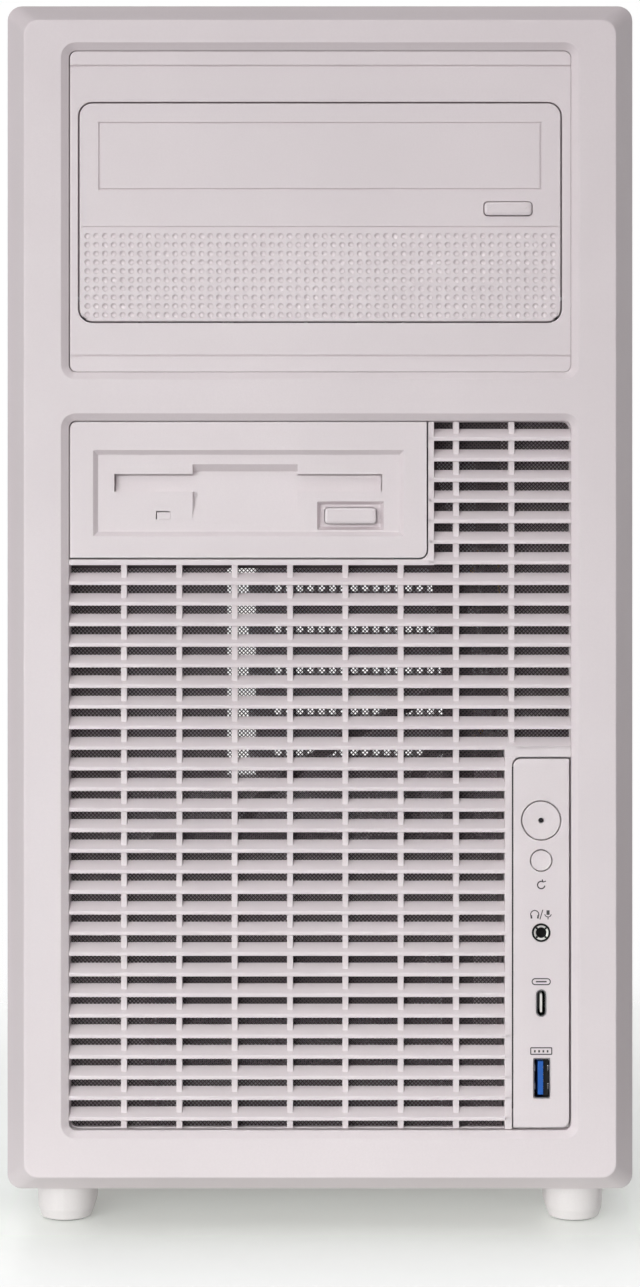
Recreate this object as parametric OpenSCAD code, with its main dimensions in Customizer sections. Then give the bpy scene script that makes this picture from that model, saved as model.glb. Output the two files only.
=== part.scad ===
// Retro-style desktop computer tower, front facing -Y, standing on z = 0.

/* [Overall] */
// Width across the front panel
case_w = 222.4; // [220:0.2:230]
// Height of the body above the feet
body_h = 420.8; // [418:0.2:432]
// Depth from the front face to the thumb screw heads
case_d = 435; // [432:1:460]
// Height of the feet that shows under the body
foot_h = 14.1; // [11:0.1:20]

/* [Front panel] */
// Depth of the moulded front panel
panel_d = 42; // [38:1:44]
// Width of the slope round the face, seen from the front
edge_w = 7.2; // [5:0.1:8]
// Depth of the slope round the face
edge_d = 14.7; // [10:0.1:18]
// Corner radius of the outline
corner_r = 5.2; // [3:0.1:8]
// Bar between the outline and the wells, left and right
rail_w = 20.3; // [19:0.1:21]
// Bar above the upper well
top_bar = 15.1; // [13:0.1:18]
// Bar between the two wells
mid_bar = 12; // [9:0.5:15]
// Bar below the lower well
bottom_bar = 20.9; // [18:0.1:23]
// Height of the upper well
upper_well_h = 118.2; // [114:0.2:121]
// How far the well floors lie behind the face
well_recess = 2.2; // [1.5:0.1:2.6]
// Width of the slope round each well
well_slope = 2.6; // [2:0.1:3.2]

/* [Drive bay door] */
// Width of the door opening
door_w = 170.2; // [164:0.2:171]
// Height of the door opening
door_h = 77.7; // [76:0.1:80]
// Corner radius of the door opening
door_r = 5; // [3:0.5:6]
// Thickness of the door
door_t = 5; // [4:0.5:6]
// Gap round the door
door_gap = 0.5; // [0.4:0.1:0.8]

/* [Louvres] */
// Pitch of the slats
louvre_pitch = 7.246; // [7:0.001:7.6]
// Height of each slat's upright front face
slat_face = 1.55; // [1.2:0.05:2]
// Height that each slat's slope climbs
slat_rise = 3.2; // [2.8:0.1:3.4]
// Depth of each slat
slat_run = 4; // [3:0.1:4.5]
// Pitch of the upright ribs
rib_pitch = 19.5; // [18:0.5:21]
// Width of the upright ribs
rib_w = 2.1; // [1.6:0.1:3]

/* [Connector panel] */
// Width of the connector panel
io_w = 19.6; // [18.5:0.1:20.5]
// Height of the connector panel
io_h = 129.6; // [127:0.2:132]
// Diameter of the power button
power_d = 13.9; // [12:0.1:15]
// Diameter of the reset button
reset_d = 7.7; // [6:0.1:9]

/* [Chassis] */
// Thickness of the chassis sheets
sheet = 1; // [0.8:0.1:1.2]
// Room for cables between the board tray and the right edge
tray_gap = 20.5; // [18:0.5:24]
// Height of the power supply chamber
shroud_h = 107.9; // [104:0.1:114]
// Pitch of the expansion slots
slot_pitch = 20.32; // [20.32:0.01:20.33]
// Size of the case fans
fan_size = 120; // [118:1:120]

/* [Hidden] */
$fn = 48;

// Colours
shell_c = "#ddd3d6";
steel_c = "#d9d0d2";
dark_c = "#2b2a2c";
metal_c = "#b9bbbf";
brass_c = "#c2a45a";
board_c = "#26282b";

// Outline and wells of the front panel; a pair is [low, high]
function grow(v, d) = [v[0] - d, v[1] + d];
function around(c, w) = [c - w / 2, c + w / 2];
body_x = [-case_w / 2, case_w / 2];
body_z = [foot_h, foot_h + body_h];
front_y = -case_d / 2;
floor_y = front_y + well_recess;
panel_y1 = front_y + panel_d;
face_x = grow(body_x, -edge_w);
face_z = grow(body_z, -edge_w);
face_t = 5;
wall_t = 3;
well_x = grow(body_x, -rail_w);
upper_z = [body_z[1] - top_bar - upper_well_h, body_z[1] - top_bar];
lower_z = [body_z[0] + bottom_bar, upper_z[0] - mid_bar];
well_r = 5;
floor_x = grow(well_x, -well_slope);
upper_floor_z = grow(upper_z, -well_slope);
lower_floor_z = grow(lower_z, -well_slope);
fit = 0.3;

// Drive bay door and its hinge
door_x = around(0, door_w);
door_z = [upper_z[0] + 19.9, upper_z[0] + 19.9 + door_h];
leaf_x = grow(door_x, -door_gap);
leaf_z = grow(door_z, -door_gap);
hinge_y = floor_y + door_t / 2;
hinge_z = leaf_z[0] + 8;
pin_r = 1;
button_x = around(door_x[1] - 19, 16.6);
button_z = around(door_z[0] + 40.1, 4.6);
sleeve_y1 = panel_y1 - 1;

// Louvres, floppy cover and connector panel
function row_z(k) = lower_floor_z[1] - k * louvre_pitch;
rows = floor((lower_floor_z[1] - lower_floor_z[0]) / louvre_pitch);
cover_rows = 7;
strip_w = 2;
seam = 0.5;
cover_x = [floor_x[0] + fit, 37.6];
cover_z = [row_z(cover_rows) + strip_w + seam, lower_floor_z[1] - fit];
cover_t = 6;
io_x = [floor_x[1] - 0.7 - io_w, floor_x[1] - 0.7];
io_z = [lower_floor_z[0] + 1, lower_floor_z[0] + 1 + io_h];
io_rows = floor((lower_floor_z[1] - io_z[1] - seam) / louvre_pitch);
io_t = 2.5;
io_c = (io_x[0] + io_x[1]) / 2;
flange_y = [floor_y + slat_run, floor_y + slat_run + 2];
flange_w = 3.7;
filter_y = [flange_y[1] + 0.4, flange_y[1] + 1.2];
power_z = io_z[0] + 107.9;
reset_z = io_z[0] + 93.8;
jack_z = io_z[0] + 68.4;
usb_c_z = io_z[0] + 43.6;
usb_a_z = io_z[0] + 17.2;
io_board_y = [floor_y + 12.2, floor_y + 13.8];
jack_r = 1.78;

// Chassis
ch_x = grow(body_x, -6.7);
ch_y = [panel_y1 + 0.5, case_d / 2 - 8.5];
ch_z = [body_z[0], body_z[1] - 3.9];
in_y = grow(ch_y, -sheet);
in_z = grow(ch_z, -sheet);
tray_x = [ch_x[1] - tray_gap, ch_x[1] - tray_gap + sheet];
shroud_z = ch_z[0] + shroud_h;
panel_x = 5.9;

// Main board: 244 mm square, facing -X
board_x = [tray_x[0] - 8.1, tray_x[0] - 6.5];
board_y = [in_y[1] - 247, in_y[1] - 3];
board_z = [shroud_z + 20, shroud_z + 264];
socket_yz = [board_y[1] - 100, board_z[0] + 178];
slot_z0 = board_z[0] - 9;
slots = 5;
slot_x = [-30.8, 70];
shield_x = [board_x[0] - 39.5, board_x[0] + 5];
shield_z = [board_z[0] + 80, board_z[0] + 239];

// Fans and power supply
rotor_gap = 1.5;
fan_d = 25;
hub_r = 20;
axle_r = 2;
axle_bore = 2.05;
rear_fan_xz = [-32, board_z[0] + 188];
cooler_fan_y = socket_yz[0] - 50.5;
cooler_fan_x = -17;
psu_x = [-73, 77];
psu_y = [in_y[1] - 140.2, in_y[1] - 0.2];
psu_z = [in_z[0] + 2, in_z[0] + 88];
psu_fan = [(psu_x[0] + psu_x[1]) / 2, (psu_y[0] + psu_y[1]) / 2];
psu_fan_r = 62;
inlet_xz = [psu_x[0] + 24, psu_z[1] - 22];
rocker_xz = [psu_x[0] + 52, psu_z[1] - 22];
guard_z = psu_z[0] - 0.9;

// Cage for two 133 mm (5.25 in) wide-bay devices
cage_x = around(0, 149);
cage_y = [in_y[0], board_y[0] - 6];
cage_z = [door_z[0] - 3, door_z[1] + 3.3];

// Side panels and their captive screws
flap_y = [ch_y[1] + 0.3, ch_y[1] + 1.1];
thumb_z = [in_z[0] + 40, in_z[1] - 40];
thumb_x = ch_x[1] - 5;
thumb_r = 5.8;

// Feet
foot_xy = [body_x[1] - 19.5, front_y + 39.5];
foot_w = 20.4;
foot_l = 34;
pad_h = 1.5;
rear_foot_y = ch_y[1] - 40;

// Cable routes, by hand, from end to end
main_route = [
    [47.9, -31, 305], [40, -31, 305], [34, -38, 300], [36, -50, 284], [46, -58, 250], [54, -58, 210],
    [56, -58, 170], [56, -58, 130], [56, -57, 104], [56, -48, 80], [54, -26, 66], [48, 6, 62],
    [40, 36, 64], [34, 58, 66], [34, 67.6, 66]
];
cpu_route = [
    [52.7, 180, 374], [46, 180, 374], [44, 176, 384], [48, 168, 394], [60, 156, 402], [72, 150, 406],
    [84.5, 147, 406], [93, 140, 398], [95, 130, 376], [95, 120, 320], [95, 110, 250], [95, 90, 180],
    [95, 60, 120], [93, 42, 88], [84.5, 35, 76], [70, 38, 68], [60, 48, 66], [57, 58, 66],
    [57, 67.6, 66]
];
front_route = [
    [78, -201.3, 100], [78, -188, 100], [77, -172, 100], [66, -140, 102], [50, -100, 104], [41, -74, 108],
    [38, -62, 120], [38, -54, 136], [42, -30, 148], [48, -2, 152], [52, 16, 152], [58, 20, 152],
    [66.7, 20, 152]
];
sata_route = [
    [-30, -49.8, 125.5], [-30, -42, 126], [-22, -37, 138], [10, -34, 160], [38, -30, 174], [52, -25.5, 179],
    [63.7, -25, 179]
];

// ---- Shared shapes ----
module box(x, y, z) translate([x[0], y[0], z[0]]) cube([x[1] - x[0], y[1] - y[0], z[1] - z[0]]);
module along_x(x) translate([x[0], 0, 0]) rotate([90, 0, 90]) linear_extrude(x[1] - x[0]) children();
module along_y(y) translate([0, y[1], 0]) rotate([90, 0, 0]) linear_extrude(y[1] - y[0]) children();
module along_z(z) translate([0, 0, z[0]]) linear_extrude(z[1] - z[0]) children();
module rod_x(r, x, y, z) translate([x[0], y, z]) rotate([0, 90, 0]) cylinder(r = r, h = x[1] - x[0]);
module rod_y(r, x, y, z) translate([x, y[0], z]) rotate([-90, 0, 0]) cylinder(r = r, h = y[1] - y[0]);
module rod_z(r, x, y, z) translate([x, y, z[0]]) cylinder(r = r, h = z[1] - z[0]);

// Rectangle with round corners; square lists the corners left sharp, as [right, top] pairs
module rect(x, z, r = 0, square = []) {
    if (r > 0) {
        translate([x[0] + r, z[0]]) square([x[1] - x[0] - 2 * r, z[1] - z[0]]);
        translate([x[0], z[0] + r]) square([x[1] - x[0], z[1] - z[0] - 2 * r]);
        for (i = [0, 1], j = [0, 1]) translate([i ? x[1] - r : x[0] + r, j ? z[1] - r : z[0] + r]) circle(r);
        for (c = square) translate([c[0] ? x[1] - r : x[0], c[1] ? z[1] - r : z[0]]) square(r);
    } else translate([x[0], z[0]]) square([x[1] - x[0], z[1] - z[0]]);
}
module ring(x, z, w, r = 0) difference() { rect(x, z, r); rect(grow(x, -w), grow(z, -w)); }

// Rows of hexagonal holes inside a circle
module hex_field(c, r, pitch, hole) {
    n = ceil(r / pitch) + 1;
    for (j = [-n:n], i = [-n:n]) {
        p = [(i + (j % 2 == 0 ? 0 : 0.5)) * pitch, j * pitch * sin(60)];
        if (norm(p) < r - hole) translate(c + p) rotate(30) circle(hole, $fn = 6);
    }
}

// Fan parts, with the axis on Z and the air going up
module fan_frame(size, depth) difference() {
    union() {
        difference() {
            along_z([0, depth]) rect(around(0, size), around(0, size), 5);
            rod_z(size / 2 - 2.5, 0, 0, [-1, depth + 1]);
        }
        intersection() {
            for (a = [45, 135]) rotate(a) box(around(0, size), around(0, 5), [depth - 3, depth]);
            rod_z(size / 2 - 1, 0, 0, [0, depth]);
        }
        rod_z(hub_r, 0, 0, [depth - 4, depth]);
        rod_z(axle_r, 0, 0, [8, depth - 3]);
    }
    for (x = [-1, 1], y = [-1, 1]) rod_z(2.2, x * 52.5, y * 52.5, [-1, depth + 1]);
}
module fan_rotor(r, depth, blades) difference() {
    union() {
        rod_z(hub_r, 0, 0, [2, depth - 5]);
        intersection() {
            for (i = [0:blades - 1]) rotate(i * 360 / blades) translate([hub_r - 3, 0, depth / 2 - 1.5])
                rotate([-38, 0, 0]) translate([0, -13, -0.9]) cube([r, 26, 1.8]);
            rod_z(r, 0, 0, [1.5, depth - 5]);
        }
    }
    rod_z(axle_bore, 0, 0, [6, depth]);
}

// Round cable through a list of points, smoothed between them
function spline(a, b, c, d, t) = 0.5 * (2 * b + (c - a) * t + (2 * a - 5 * b + 4 * c - d) * t * t
    + (3 * b - a - 3 * c + d) * t * t * t);
function smooth_path(p, n) = let (m = len(p) - 1) concat([for (i = [0:m - 1], s = [0:n - 1])
    spline(p[max(i - 1, 0)], p[i], p[i + 1], p[min(i + 2, m)], s / n)], [p[m]]);
function unit(v) = v / norm(v);
function tangent(p, i) = unit(p[min(i + 1, len(p) - 1)] - p[max(i - 1, 0)]);
function normals(p, i, v) = i == len(p) ? []
    : let (t = tangent(p, i), n = unit(v - (v * t) * t)) concat([n], normals(p, i + 1, n));
module cable(route, d, sides = 10, steps = 3) {
    p = smooth_path(route, steps);
    n = normals(p, 0, [0.31, 0.17, 0.93]);
    last = len(p) - 1;
    points = [for (i = [0:last], k = [0:sides - 1]) let (a = 360 * k / sides, t = tangent(p, i))
        p[i] + d / 2 * (cos(a) * n[i] + sin(a) * cross(t, n[i]))];
    walls = [for (i = [0:last - 1], k = [0:sides - 1]) let (m = (k + 1) % sides)
        [i * sides + m, i * sides + k, (i + 1) * sides + k, (i + 1) * sides + m]];
    ends = [[for (k = [0:sides - 1]) k], [for (k = [sides - 1:-1:0]) last * sides + k]];
    polyhedron(points, concat(walls, ends), convexity = 6);
}

// ---- Front panel ----
module front_bezel() color(shell_c) difference() {
    hull() {
        along_y([front_y, front_y + 0.2]) rect(face_x, face_z, corner_r);
        along_y([front_y + edge_d, panel_y1]) rect(body_x, body_z, corner_r);
    }
    for (z = [upper_z, lower_z]) {
        hull() {
            along_y([front_y - 0.1, front_y]) rect(well_x, z, well_r);
            along_y([floor_y, floor_y + 0.1]) rect(floor_x, grow(z, -well_slope), well_r - well_slope);
        }
        along_y([floor_y, front_y + face_t + 1]) rect(floor_x, grow(z, -well_slope), well_r - well_slope);
    }
    along_y([front_y + face_t, panel_y1 + 1]) rect(grow(face_x, -2.5), grow(face_z, -2.5), 4);
    along_y([front_y + edge_d + 4, panel_y1 + 1]) rect(grow(body_x, -wall_t), grow(body_z, -wall_t), 3);
}

module bay_surround() color(shell_c) difference() {
    union() {
        along_y([floor_y, floor_y + 3])
            rect(grow(floor_x, -fit), grow(upper_floor_z, -fit), well_r - well_slope);
        along_y([floor_y + 2, sleeve_y1]) rect(grow(door_x, 2.3), grow(door_z, 2.3));
    }
    along_y([floor_y - 1, sleeve_y1 + 1]) rect(door_x, door_z, door_r);
    for (z = [upper_floor_z[0] + 5.6, upper_floor_z[1] - 5.4])
        box(grow(floor_x, 1), [floor_y - 1, floor_y + 0.6], around(z, 0.6));
    rod_x(pin_r, grow(door_x, 5), hinge_y, hinge_z);
}

module bay_door() color(shell_c) difference() {
    intersection() {
        along_y([floor_y, floor_y + door_t]) rect(leaf_x, leaf_z, door_r - door_gap);
        along_x(leaf_x) rect([floor_y, floor_y + door_t], leaf_z, 0.8);
    }
    along_y([floor_y - 1, floor_y + door_t + 1]) rect(grow(button_x, fit), grow(button_z, fit), 1.2);
    along_y([floor_y - 1, floor_y + 0.4])
        ring(around(0, 155.8), [door_z[0] + 46.7, door_z[0] + 70.6], 0.5);
    box(grow(leaf_x, 1), [floor_y - 1, floor_y + 0.3], around(door_z[0] + 33.7, 0.5));
    for (s = [-1, 1]) rod_x(pin_r + 0.05, around(s * (door_x[1] + 1), 12), hinge_y, hinge_z);
}

module door_button() color(shell_c) {
    along_y([floor_y - 1.2, floor_y + door_t + 0.6]) rect(button_x, button_z, 1.2);
    along_y([floor_y + door_t + 0.4, floor_y + door_t + 1.6]) rect(grow(button_x, 1.5), grow(button_z, 1.5));
}

module door_pins() color(metal_c)
    for (s = [-1, 1]) rod_x(pin_r, around(s * (door_x[1] - 1), 6), hinge_y, hinge_z);

floppy_recess_x = [cover_x[0] + 8.2, cover_x[1] - 8];
floppy_recess_z = [cover_z[0] + 7.6, cover_z[1] - 9.95];
floppy_slot_z = [cover_z[0] + 23.4, cover_z[0] + 29.5];
floppy_button_x = around(cover_x[1] - 26.85, 18.1);
floppy_button_z = around(cover_z[0] + 14.85, 5.5);
floppy_led_x = around(cover_x[0] + 32.75, 5.1);
floppy_led_z = around(cover_z[0] + 15.05, 2.9);

module floppy_cover() color(shell_c) difference() {
    along_y([floor_y, floor_y + cover_t]) rect(cover_x, cover_z, 2.8, [[0, 0], [1, 1]]);
    along_y([floor_y - 1, floor_y + 1.8]) rect(floppy_recess_x, floppy_recess_z);
    along_y([floor_y, floor_y + 4.5])
        rect([floppy_recess_x[0] + 7.3, floppy_recess_x[1] - 7.7], floppy_slot_z);
    along_x([floppy_recess_x[0] + 34.9, floppy_recess_x[0] + 71.9]) polygon([
        [floor_y + 1.7, floppy_slot_z[0] - 10.4], [floor_y + 4.5, floppy_slot_z[0]],
        [floor_y + 4.5, floppy_slot_z[1] + 3.5], [floor_y + 1.7, floppy_slot_z[1] + 3.5]
    ]);
    along_y([floor_y, floor_y + 3.6]) rect(grow(floppy_button_x, 2.7), grow(floppy_button_z, 2.4));
    along_y([floor_y, floor_y + cover_t + 1]) {
        rect(grow(floppy_button_x, fit), grow(floppy_button_z, fit));
        rect(floppy_led_x, floppy_led_z);
    }
}

module floppy_button() color(shell_c) {
    along_y([floor_y + 0.4, floor_y + cover_t + 0.6]) rect(floppy_button_x, floppy_button_z);
    along_y([floor_y + cover_t + 0.4, floor_y + cover_t + 1.6])
        rect(grow(floppy_button_x, 1.5), grow(floppy_button_z, 1.5));
}

module floppy_light() color("#f1ecd8")
    along_y([floor_y + 2, floor_y + cover_t]) rect(grow(floppy_led_x, -0.05), grow(floppy_led_z, -0.05));

// One slat, from its lower front edge at height z
module slat(x, z) along_x(x) polygon([
    [floor_y, z], [floor_y, z + slat_face], [floor_y + slat_run, z + slat_face + slat_rise],
    [floor_y + slat_run, z + slat_rise]
]);

module louvre_grille() color(shell_c) {
    left = floor_x[0] + fit;
    right = floor_x[1] - fit;
    strip_x = cover_x[1] + seam;
    io_strip = io_x[0] - 0.6;
    rib_y = [floor_y + 1.5, flange_y[1]];
    for (k = [1:rows]) slat([k <= cover_rows ? strip_x : left, k > io_rows ? io_strip : right], row_z(k));
    for (i = [0:floor((right - left - 20) / rib_pitch)]) {
        x = around(left + 18.9 + i * rib_pitch, rib_w);
        top = x[0] < strip_x ? row_z(cover_rows) : lower_floor_z[1] - fit;
        bottom = x[1] > io_strip ? io_z[1] + 2 : lower_floor_z[0] + fit;
        box(x, rib_y, [bottom, top]);
    }
    // Strips beside and below the floppy cover, and round the connector panel
    box([left, strip_x], [floor_y, flange_y[1]], [row_z(cover_rows), row_z(cover_rows) + strip_w]);
    box([strip_x, strip_x + strip_w], [floor_y, flange_y[1]], [row_z(cover_rows), lower_floor_z[1] - fit]);
    box([io_strip - 2.5, io_strip], [floor_y, flange_y[1]], [lower_floor_z[0] + fit, io_z[1] + 0.6]);
    box([io_strip - 2.5, right], [floor_y, flange_y[1]], [io_z[1] + 0.6, row_z(io_rows) + slat_face]);
    // Flange that lies behind the bars of the front panel
    along_y(flange_y) difference() {
        rect(grow(floor_x, flange_w), grow(lower_floor_z, flange_w));
        rect(grow(floor_x, -1.2), grow(lower_floor_z, -1.2));
        rect([cover_x[0] - 5, cover_x[1] + fit], [cover_z[0] - fit, cover_z[1] + 5]);
    }
}

module front_filter() color("#4a4648") {
    x = [floor_x[0] - 3, floor_x[1] + 3];
    z = [lower_floor_z[0] - 3, lower_floor_z[1] + 3];
    outline = [
        [x[0], z[0]], [io_x[0] - 4.5, z[0]], [io_x[0] - 4.5, io_z[1] + 4], [x[1], io_z[1] + 4], [x[1], z[1]],
        [cover_x[1] + 3, z[1]], [cover_x[1] + 3, cover_z[0] - 3], [x[0], cover_z[0] - 3]
    ];
    along_y(filter_y) polygon(outline);
}

module usb_a_outline(w, h) rect(around(io_c + 0.2, w), around(usb_a_z, h), 0.6);
module stadium(w, h) {
    square([w, h - w], center = true);
    for (s = [-1, 1]) translate([0, s * (h - w) / 2]) circle(w / 2);
}

module io_panel() color(shell_c) difference() {
    along_y([floor_y, floor_y + io_t]) rect(io_x, io_z, 2.5, [[0, 0], [1, 1]]);
    rod_y(power_d / 2 + fit, io_c, [floor_y - 1, floor_y + io_t + 1], power_z);
    rod_y(reset_d / 2 + fit, io_c, [floor_y - 1, floor_y + io_t + 1], reset_z);
    rod_y(3.3, io_c, [floor_y - 1, floor_y + io_t + 1], jack_z);
    along_y([floor_y - 1, floor_y + io_t + 1]) {
        translate([io_c, usb_c_z]) stadium(3.8, 9.8);
        usb_a_outline(6.1, 14.3);
    }
}

module round_button(d, z, light_bore) difference() {
    union() {
        rod_y(d / 2, io_c, [floor_y, floor_y + io_t + 1], z);
        rod_y(d / 2 + 1.2, io_c, [floor_y + io_t + 0.4, floor_y + io_t + 2], z);
        rod_y(1.6, io_c, [floor_y + io_t + 1, floor_y + 9], z);
    }
    translate([io_c, floor_y - 5 * d, z]) sphere(5 * d + 0.25, $fn = 96);
    if (light_bore > 0) rod_y(light_bore, io_c, [floor_y - 1, floor_y + 10], z);
}
module power_button() color(shell_c) round_button(power_d, power_z, 0.8);
module power_light() color("#e8f4ff") rod_y(0.8, io_c, [floor_y + 0.7, floor_y + 9], power_z);
module reset_button() color(shell_c) round_button(reset_d, reset_z, 0);

module audio_jack() color(metal_c) difference() {
    union() {
        rod_y(3.25, io_c, [floor_y - 0.4, floor_y + 3], jack_z);
        box(around(io_c, 6.4), [floor_y + 3, io_board_y[0]], around(jack_z, 11));
    }
    rod_y(jack_r, io_c, [floor_y - 1, io_board_y[0] - 1], jack_z);
}

module usb_c_socket() color(metal_c) {
    translate([io_c, 0, usb_c_z]) along_y([floor_y, io_board_y[0]]) difference() {
        stadium(3.6, 9.6);
        stadium(2.8, 8.8);
    }
    box(around(io_c, 0.8), [floor_y + 1.2, io_board_y[0]], around(usb_c_z, 6.7));
    translate([io_c, 0, usb_c_z]) along_y([io_board_y[0] - 1.5, io_board_y[0]]) stadium(3.6, 9.6);
}

module usb_a_socket() color(metal_c) along_y([floor_y, io_board_y[0]]) difference() {
    usb_a_outline(5.9, 14.1);
    usb_a_outline(5.1, 13.3);
}
module usb_a_tongue() color("#1f5fae") {
    box(around(io_c - 0.3, 2), [floor_y + 1, io_board_y[0]], around(usb_a_z, 11.8));
    along_y([io_board_y[0] - 2, io_board_y[0]]) usb_a_outline(5, 13.2);
}

module front_io_board() color(board_c) box([io_x[0] - 2, io_x[1] + 2], io_board_y, grow(io_z, -4));

// ---- Chassis sheets ----
cable_gap_z = [90, 112];
module chassis_front() color(steel_c) difference() {
    along_y([ch_y[0], in_y[0]]) rect(ch_x, ch_z);
    along_y([ch_y[0] - 1, in_y[0] + 1]) {
        rect(cage_x, grow(cage_z, -sheet));
        rect(around(-4, 140), [shroud_z + 8, cage_z[0] - 18], 6);
        rect(around(-4, 120), [in_z[0] + 14, shroud_z - 24], 6);
        rect([70, 84], cable_gap_z, 3);
    }
}

vent_rows = 15;
vent_pitch = 17;
module chassis_top() color(steel_c) difference() {
    box(ch_x, in_y, [in_z[1], ch_z[1]]);
    for (i = [0:vent_rows - 1], s = [-1, 1])
        box(s > 0 ? [4, 56] : [-56, -4], around(-100 + i * vent_pitch, 7), grow([in_z[1], ch_z[1]], 1));
}

filter_x = [psu_x[0] + 2, psu_x[1] - 2];
filter_z = [ch_z[0] - 3, ch_z[0] - 0.6];
module chassis_bottom() color(steel_c) difference() {
    union() {
        box(ch_x, in_y, [ch_z[0], in_z[0]]);
        for (s = [0, 1]) {
            x = s ? filter_x[1] + 0.4 : filter_x[0] - 1.4;
            lip = s ? filter_x[1] - 2.6 : filter_x[0] - 1.4;
            box([x, x + 1], psu_y, [filter_z[0] - 0.9, ch_z[0] + 0.1]);
            box([lip, lip + 4], psu_y, [filter_z[0] - 0.9, filter_z[0] - 0.3]);
        }
        for (y = [psu_y[0] + 0.2, psu_y[1] - 5.2]) box(psu_x, [y, y + 5], [ch_z[0], psu_z[0]]);
    }
    for (i = [-1, 1], j = [-1, 1])
        box(around(psu_fan[0] + i * 30, 54), around(psu_fan[1] + j * 30, 54), grow([ch_z[0], in_z[0]], 1));
    for (x = [-1, 1], y = [foot_xy[1], rear_foot_y])
        rod_z(2.2, x * foot_xy[0], y, grow([ch_z[0], in_z[0]], 1));
}

module chassis_rear() color(steel_c) {
    ledge_x = [slot_x[0] - 1.1, slot_x[0] - 0.1];
    slot_span = [slot_z0 - 11, slot_z0 + (slots - 1) * slot_pitch + 11];
    difference() {
        along_y([in_y[1], ch_y[1]]) rect(ch_x, ch_z);
        along_y([in_y[1] - 1, ch_y[1] + 1]) {
            rect(grow(psu_x, -3), grow(psu_z, -3), 3);
            rect(shield_x, shield_z, 2);
            rect([ledge_x[0] - 14, ledge_x[0]], slot_span);
            hex_field(rear_fan_xz, fan_size / 2 - 2, 11, 5.4);
            for (i = [0:slots - 1]) rect(slot_x, around(slot_z0 + i * slot_pitch, 13));
            for (z = thumb_z, s = [-1, 1]) translate([s * thumb_x, z]) circle(2);
        }
    }
    box(ledge_x, [in_y[1], ch_y[1] + 7.5], slot_span);
}

module board_tray() color(steel_c) along_x(tray_x) difference() {
    rect(in_y, in_z);
    rect([socket_yz[0] - 52, socket_yz[0] + 42], around(socket_yz[1], 90), 4);
    for (z = [board_z[0] + 40, board_z[0] + 150]) rect([board_y[0] - 22, board_y[0] - 6], around(z, 60), 5);
    rect([130, 164], [board_z[1] + 10, board_z[1] + 30], 5);
    rect([20, 50], [60, 92], 5);
}

module psu_shroud() color(steel_c) difference() {
    union() {
        box([ch_x[0] + 1, tray_x[0] - 0.1], in_y, [shroud_z - sheet, shroud_z]);
        box([ch_x[0] + 1, ch_x[0] + 1 + sheet], in_y, [in_z[0], shroud_z]);
    }
    box([20, 66], [board_y[0] - 34, board_y[0] - 6], around(shroud_z, 10));
    for (i = [0:5], j = [0:2]) box(around(-76 + j * 44, 34), around(76 + i * 20, 8), around(shroud_z, 10));
}

module bay_cage() color(metal_c) difference() {
    union() {
        for (s = [-1, 1]) box(around(s * (cage_x[1] + sheet / 2), sheet), cage_y, [cage_z[0], in_z[1]]);
        for (z = [cage_z[0], cage_z[1] - sheet]) box(cage_x, cage_y, [z, z + sheet]);
        for (s = [-1, 1], z = [cage_z[0] + 41])
            box(s > 0 ? [cage_x[1] - 1.3, cage_x[1]] : [cage_x[0], cage_x[0] + 1.3], cage_y, [z, z + sheet]);
    }
    for (y = [cage_y[0] + 30, cage_y[0] + 80], z = [cage_z[0] + 22, cage_z[0] + 63])
        rod_x(1.8, grow(cage_x, 3), y, z);
}

hdd_x = around(-8, 101.6);
hdd_y = [ch_y[0] + 12, ch_y[0] + 159];
hdd_z = [in_z[0] + 5, in_z[0] + 31.1];
module drive_cage() color(metal_c) difference() {
    union() {
        for (x = [hdd_x[0] - 2.3, hdd_x[1] + 1.3]) box([x, x + 1], hdd_y, [in_z[0], in_z[0] + 72]);
        box(grow(hdd_x, 2.3), hdd_y, [in_z[0], in_z[0] + 1]);
        for (k = [0, 1], s = [0, 1]) {
            z = hdd_z[0] - 1.2 + k * 33;
            box(s ? [hdd_x[1] - 4, hdd_x[1] + 1.4] : [hdd_x[0] - 1.4, hdd_x[0] + 4], hdd_y, [z, z + 1]);
        }
    }
    for (y = [hdd_y[0] + 30, hdd_y[1] - 30], z = [in_z[0] + 18, in_z[0] + 51])
        rod_x(2.5, grow(hdd_x, 4), y, z);
}

module slot_covers() color(metal_c) for (i = [0:slots - 1]) {
    z = slot_z0 + i * slot_pitch;
    along_y([in_y[1] - 1, in_y[1] - 0.1]) difference() {
        rect([slot_x[0] - 1.2, slot_x[1] + 8], around(z, 18.4));
        for (k = [0:15]) translate([slot_x[0] + 10 + k * 5.4, z]) circle(1.7, $fn = 24);
    }
    box([slot_x[0] - 2.2, slot_x[0] - 1.2], [in_y[1] - 1, ch_y[1] + 7.5], around(z, 12));
}

module slot_screws() color(metal_c) for (i = [0:slots - 1])
    rod_x(3, [slot_x[0] - 4.6, slot_x[0] - 2.2], ch_y[1] + 4, slot_z0 + i * slot_pitch);

// ---- Side panels and filters ----
module side_glass() color("#50585c", 0.5)
    along_x([body_x[0] + 0.8, body_x[0] + 4.8]) rect([ch_y[0] + 0.4, ch_y[1] - 0.4], grow(in_z, -1), 3);

module glass_frame() color(dark_c) {
    x = [body_x[0] + 4.9, body_x[0] + panel_x];
    along_x(x) ring([ch_y[0] + 1, ch_y[1] - 1], grow(in_z, -2), 13);
    box([x[0], x[1]], [ch_y[1] - 2, flap_y[1]], grow(in_z, -20));
    difference() {
        box([x[0], -thumb_x + 6], flap_y, grow(in_z, -20));
        for (z = thumb_z) rod_y(1.75, -thumb_x, grow(flap_y, 1), z);
    }
}

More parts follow.
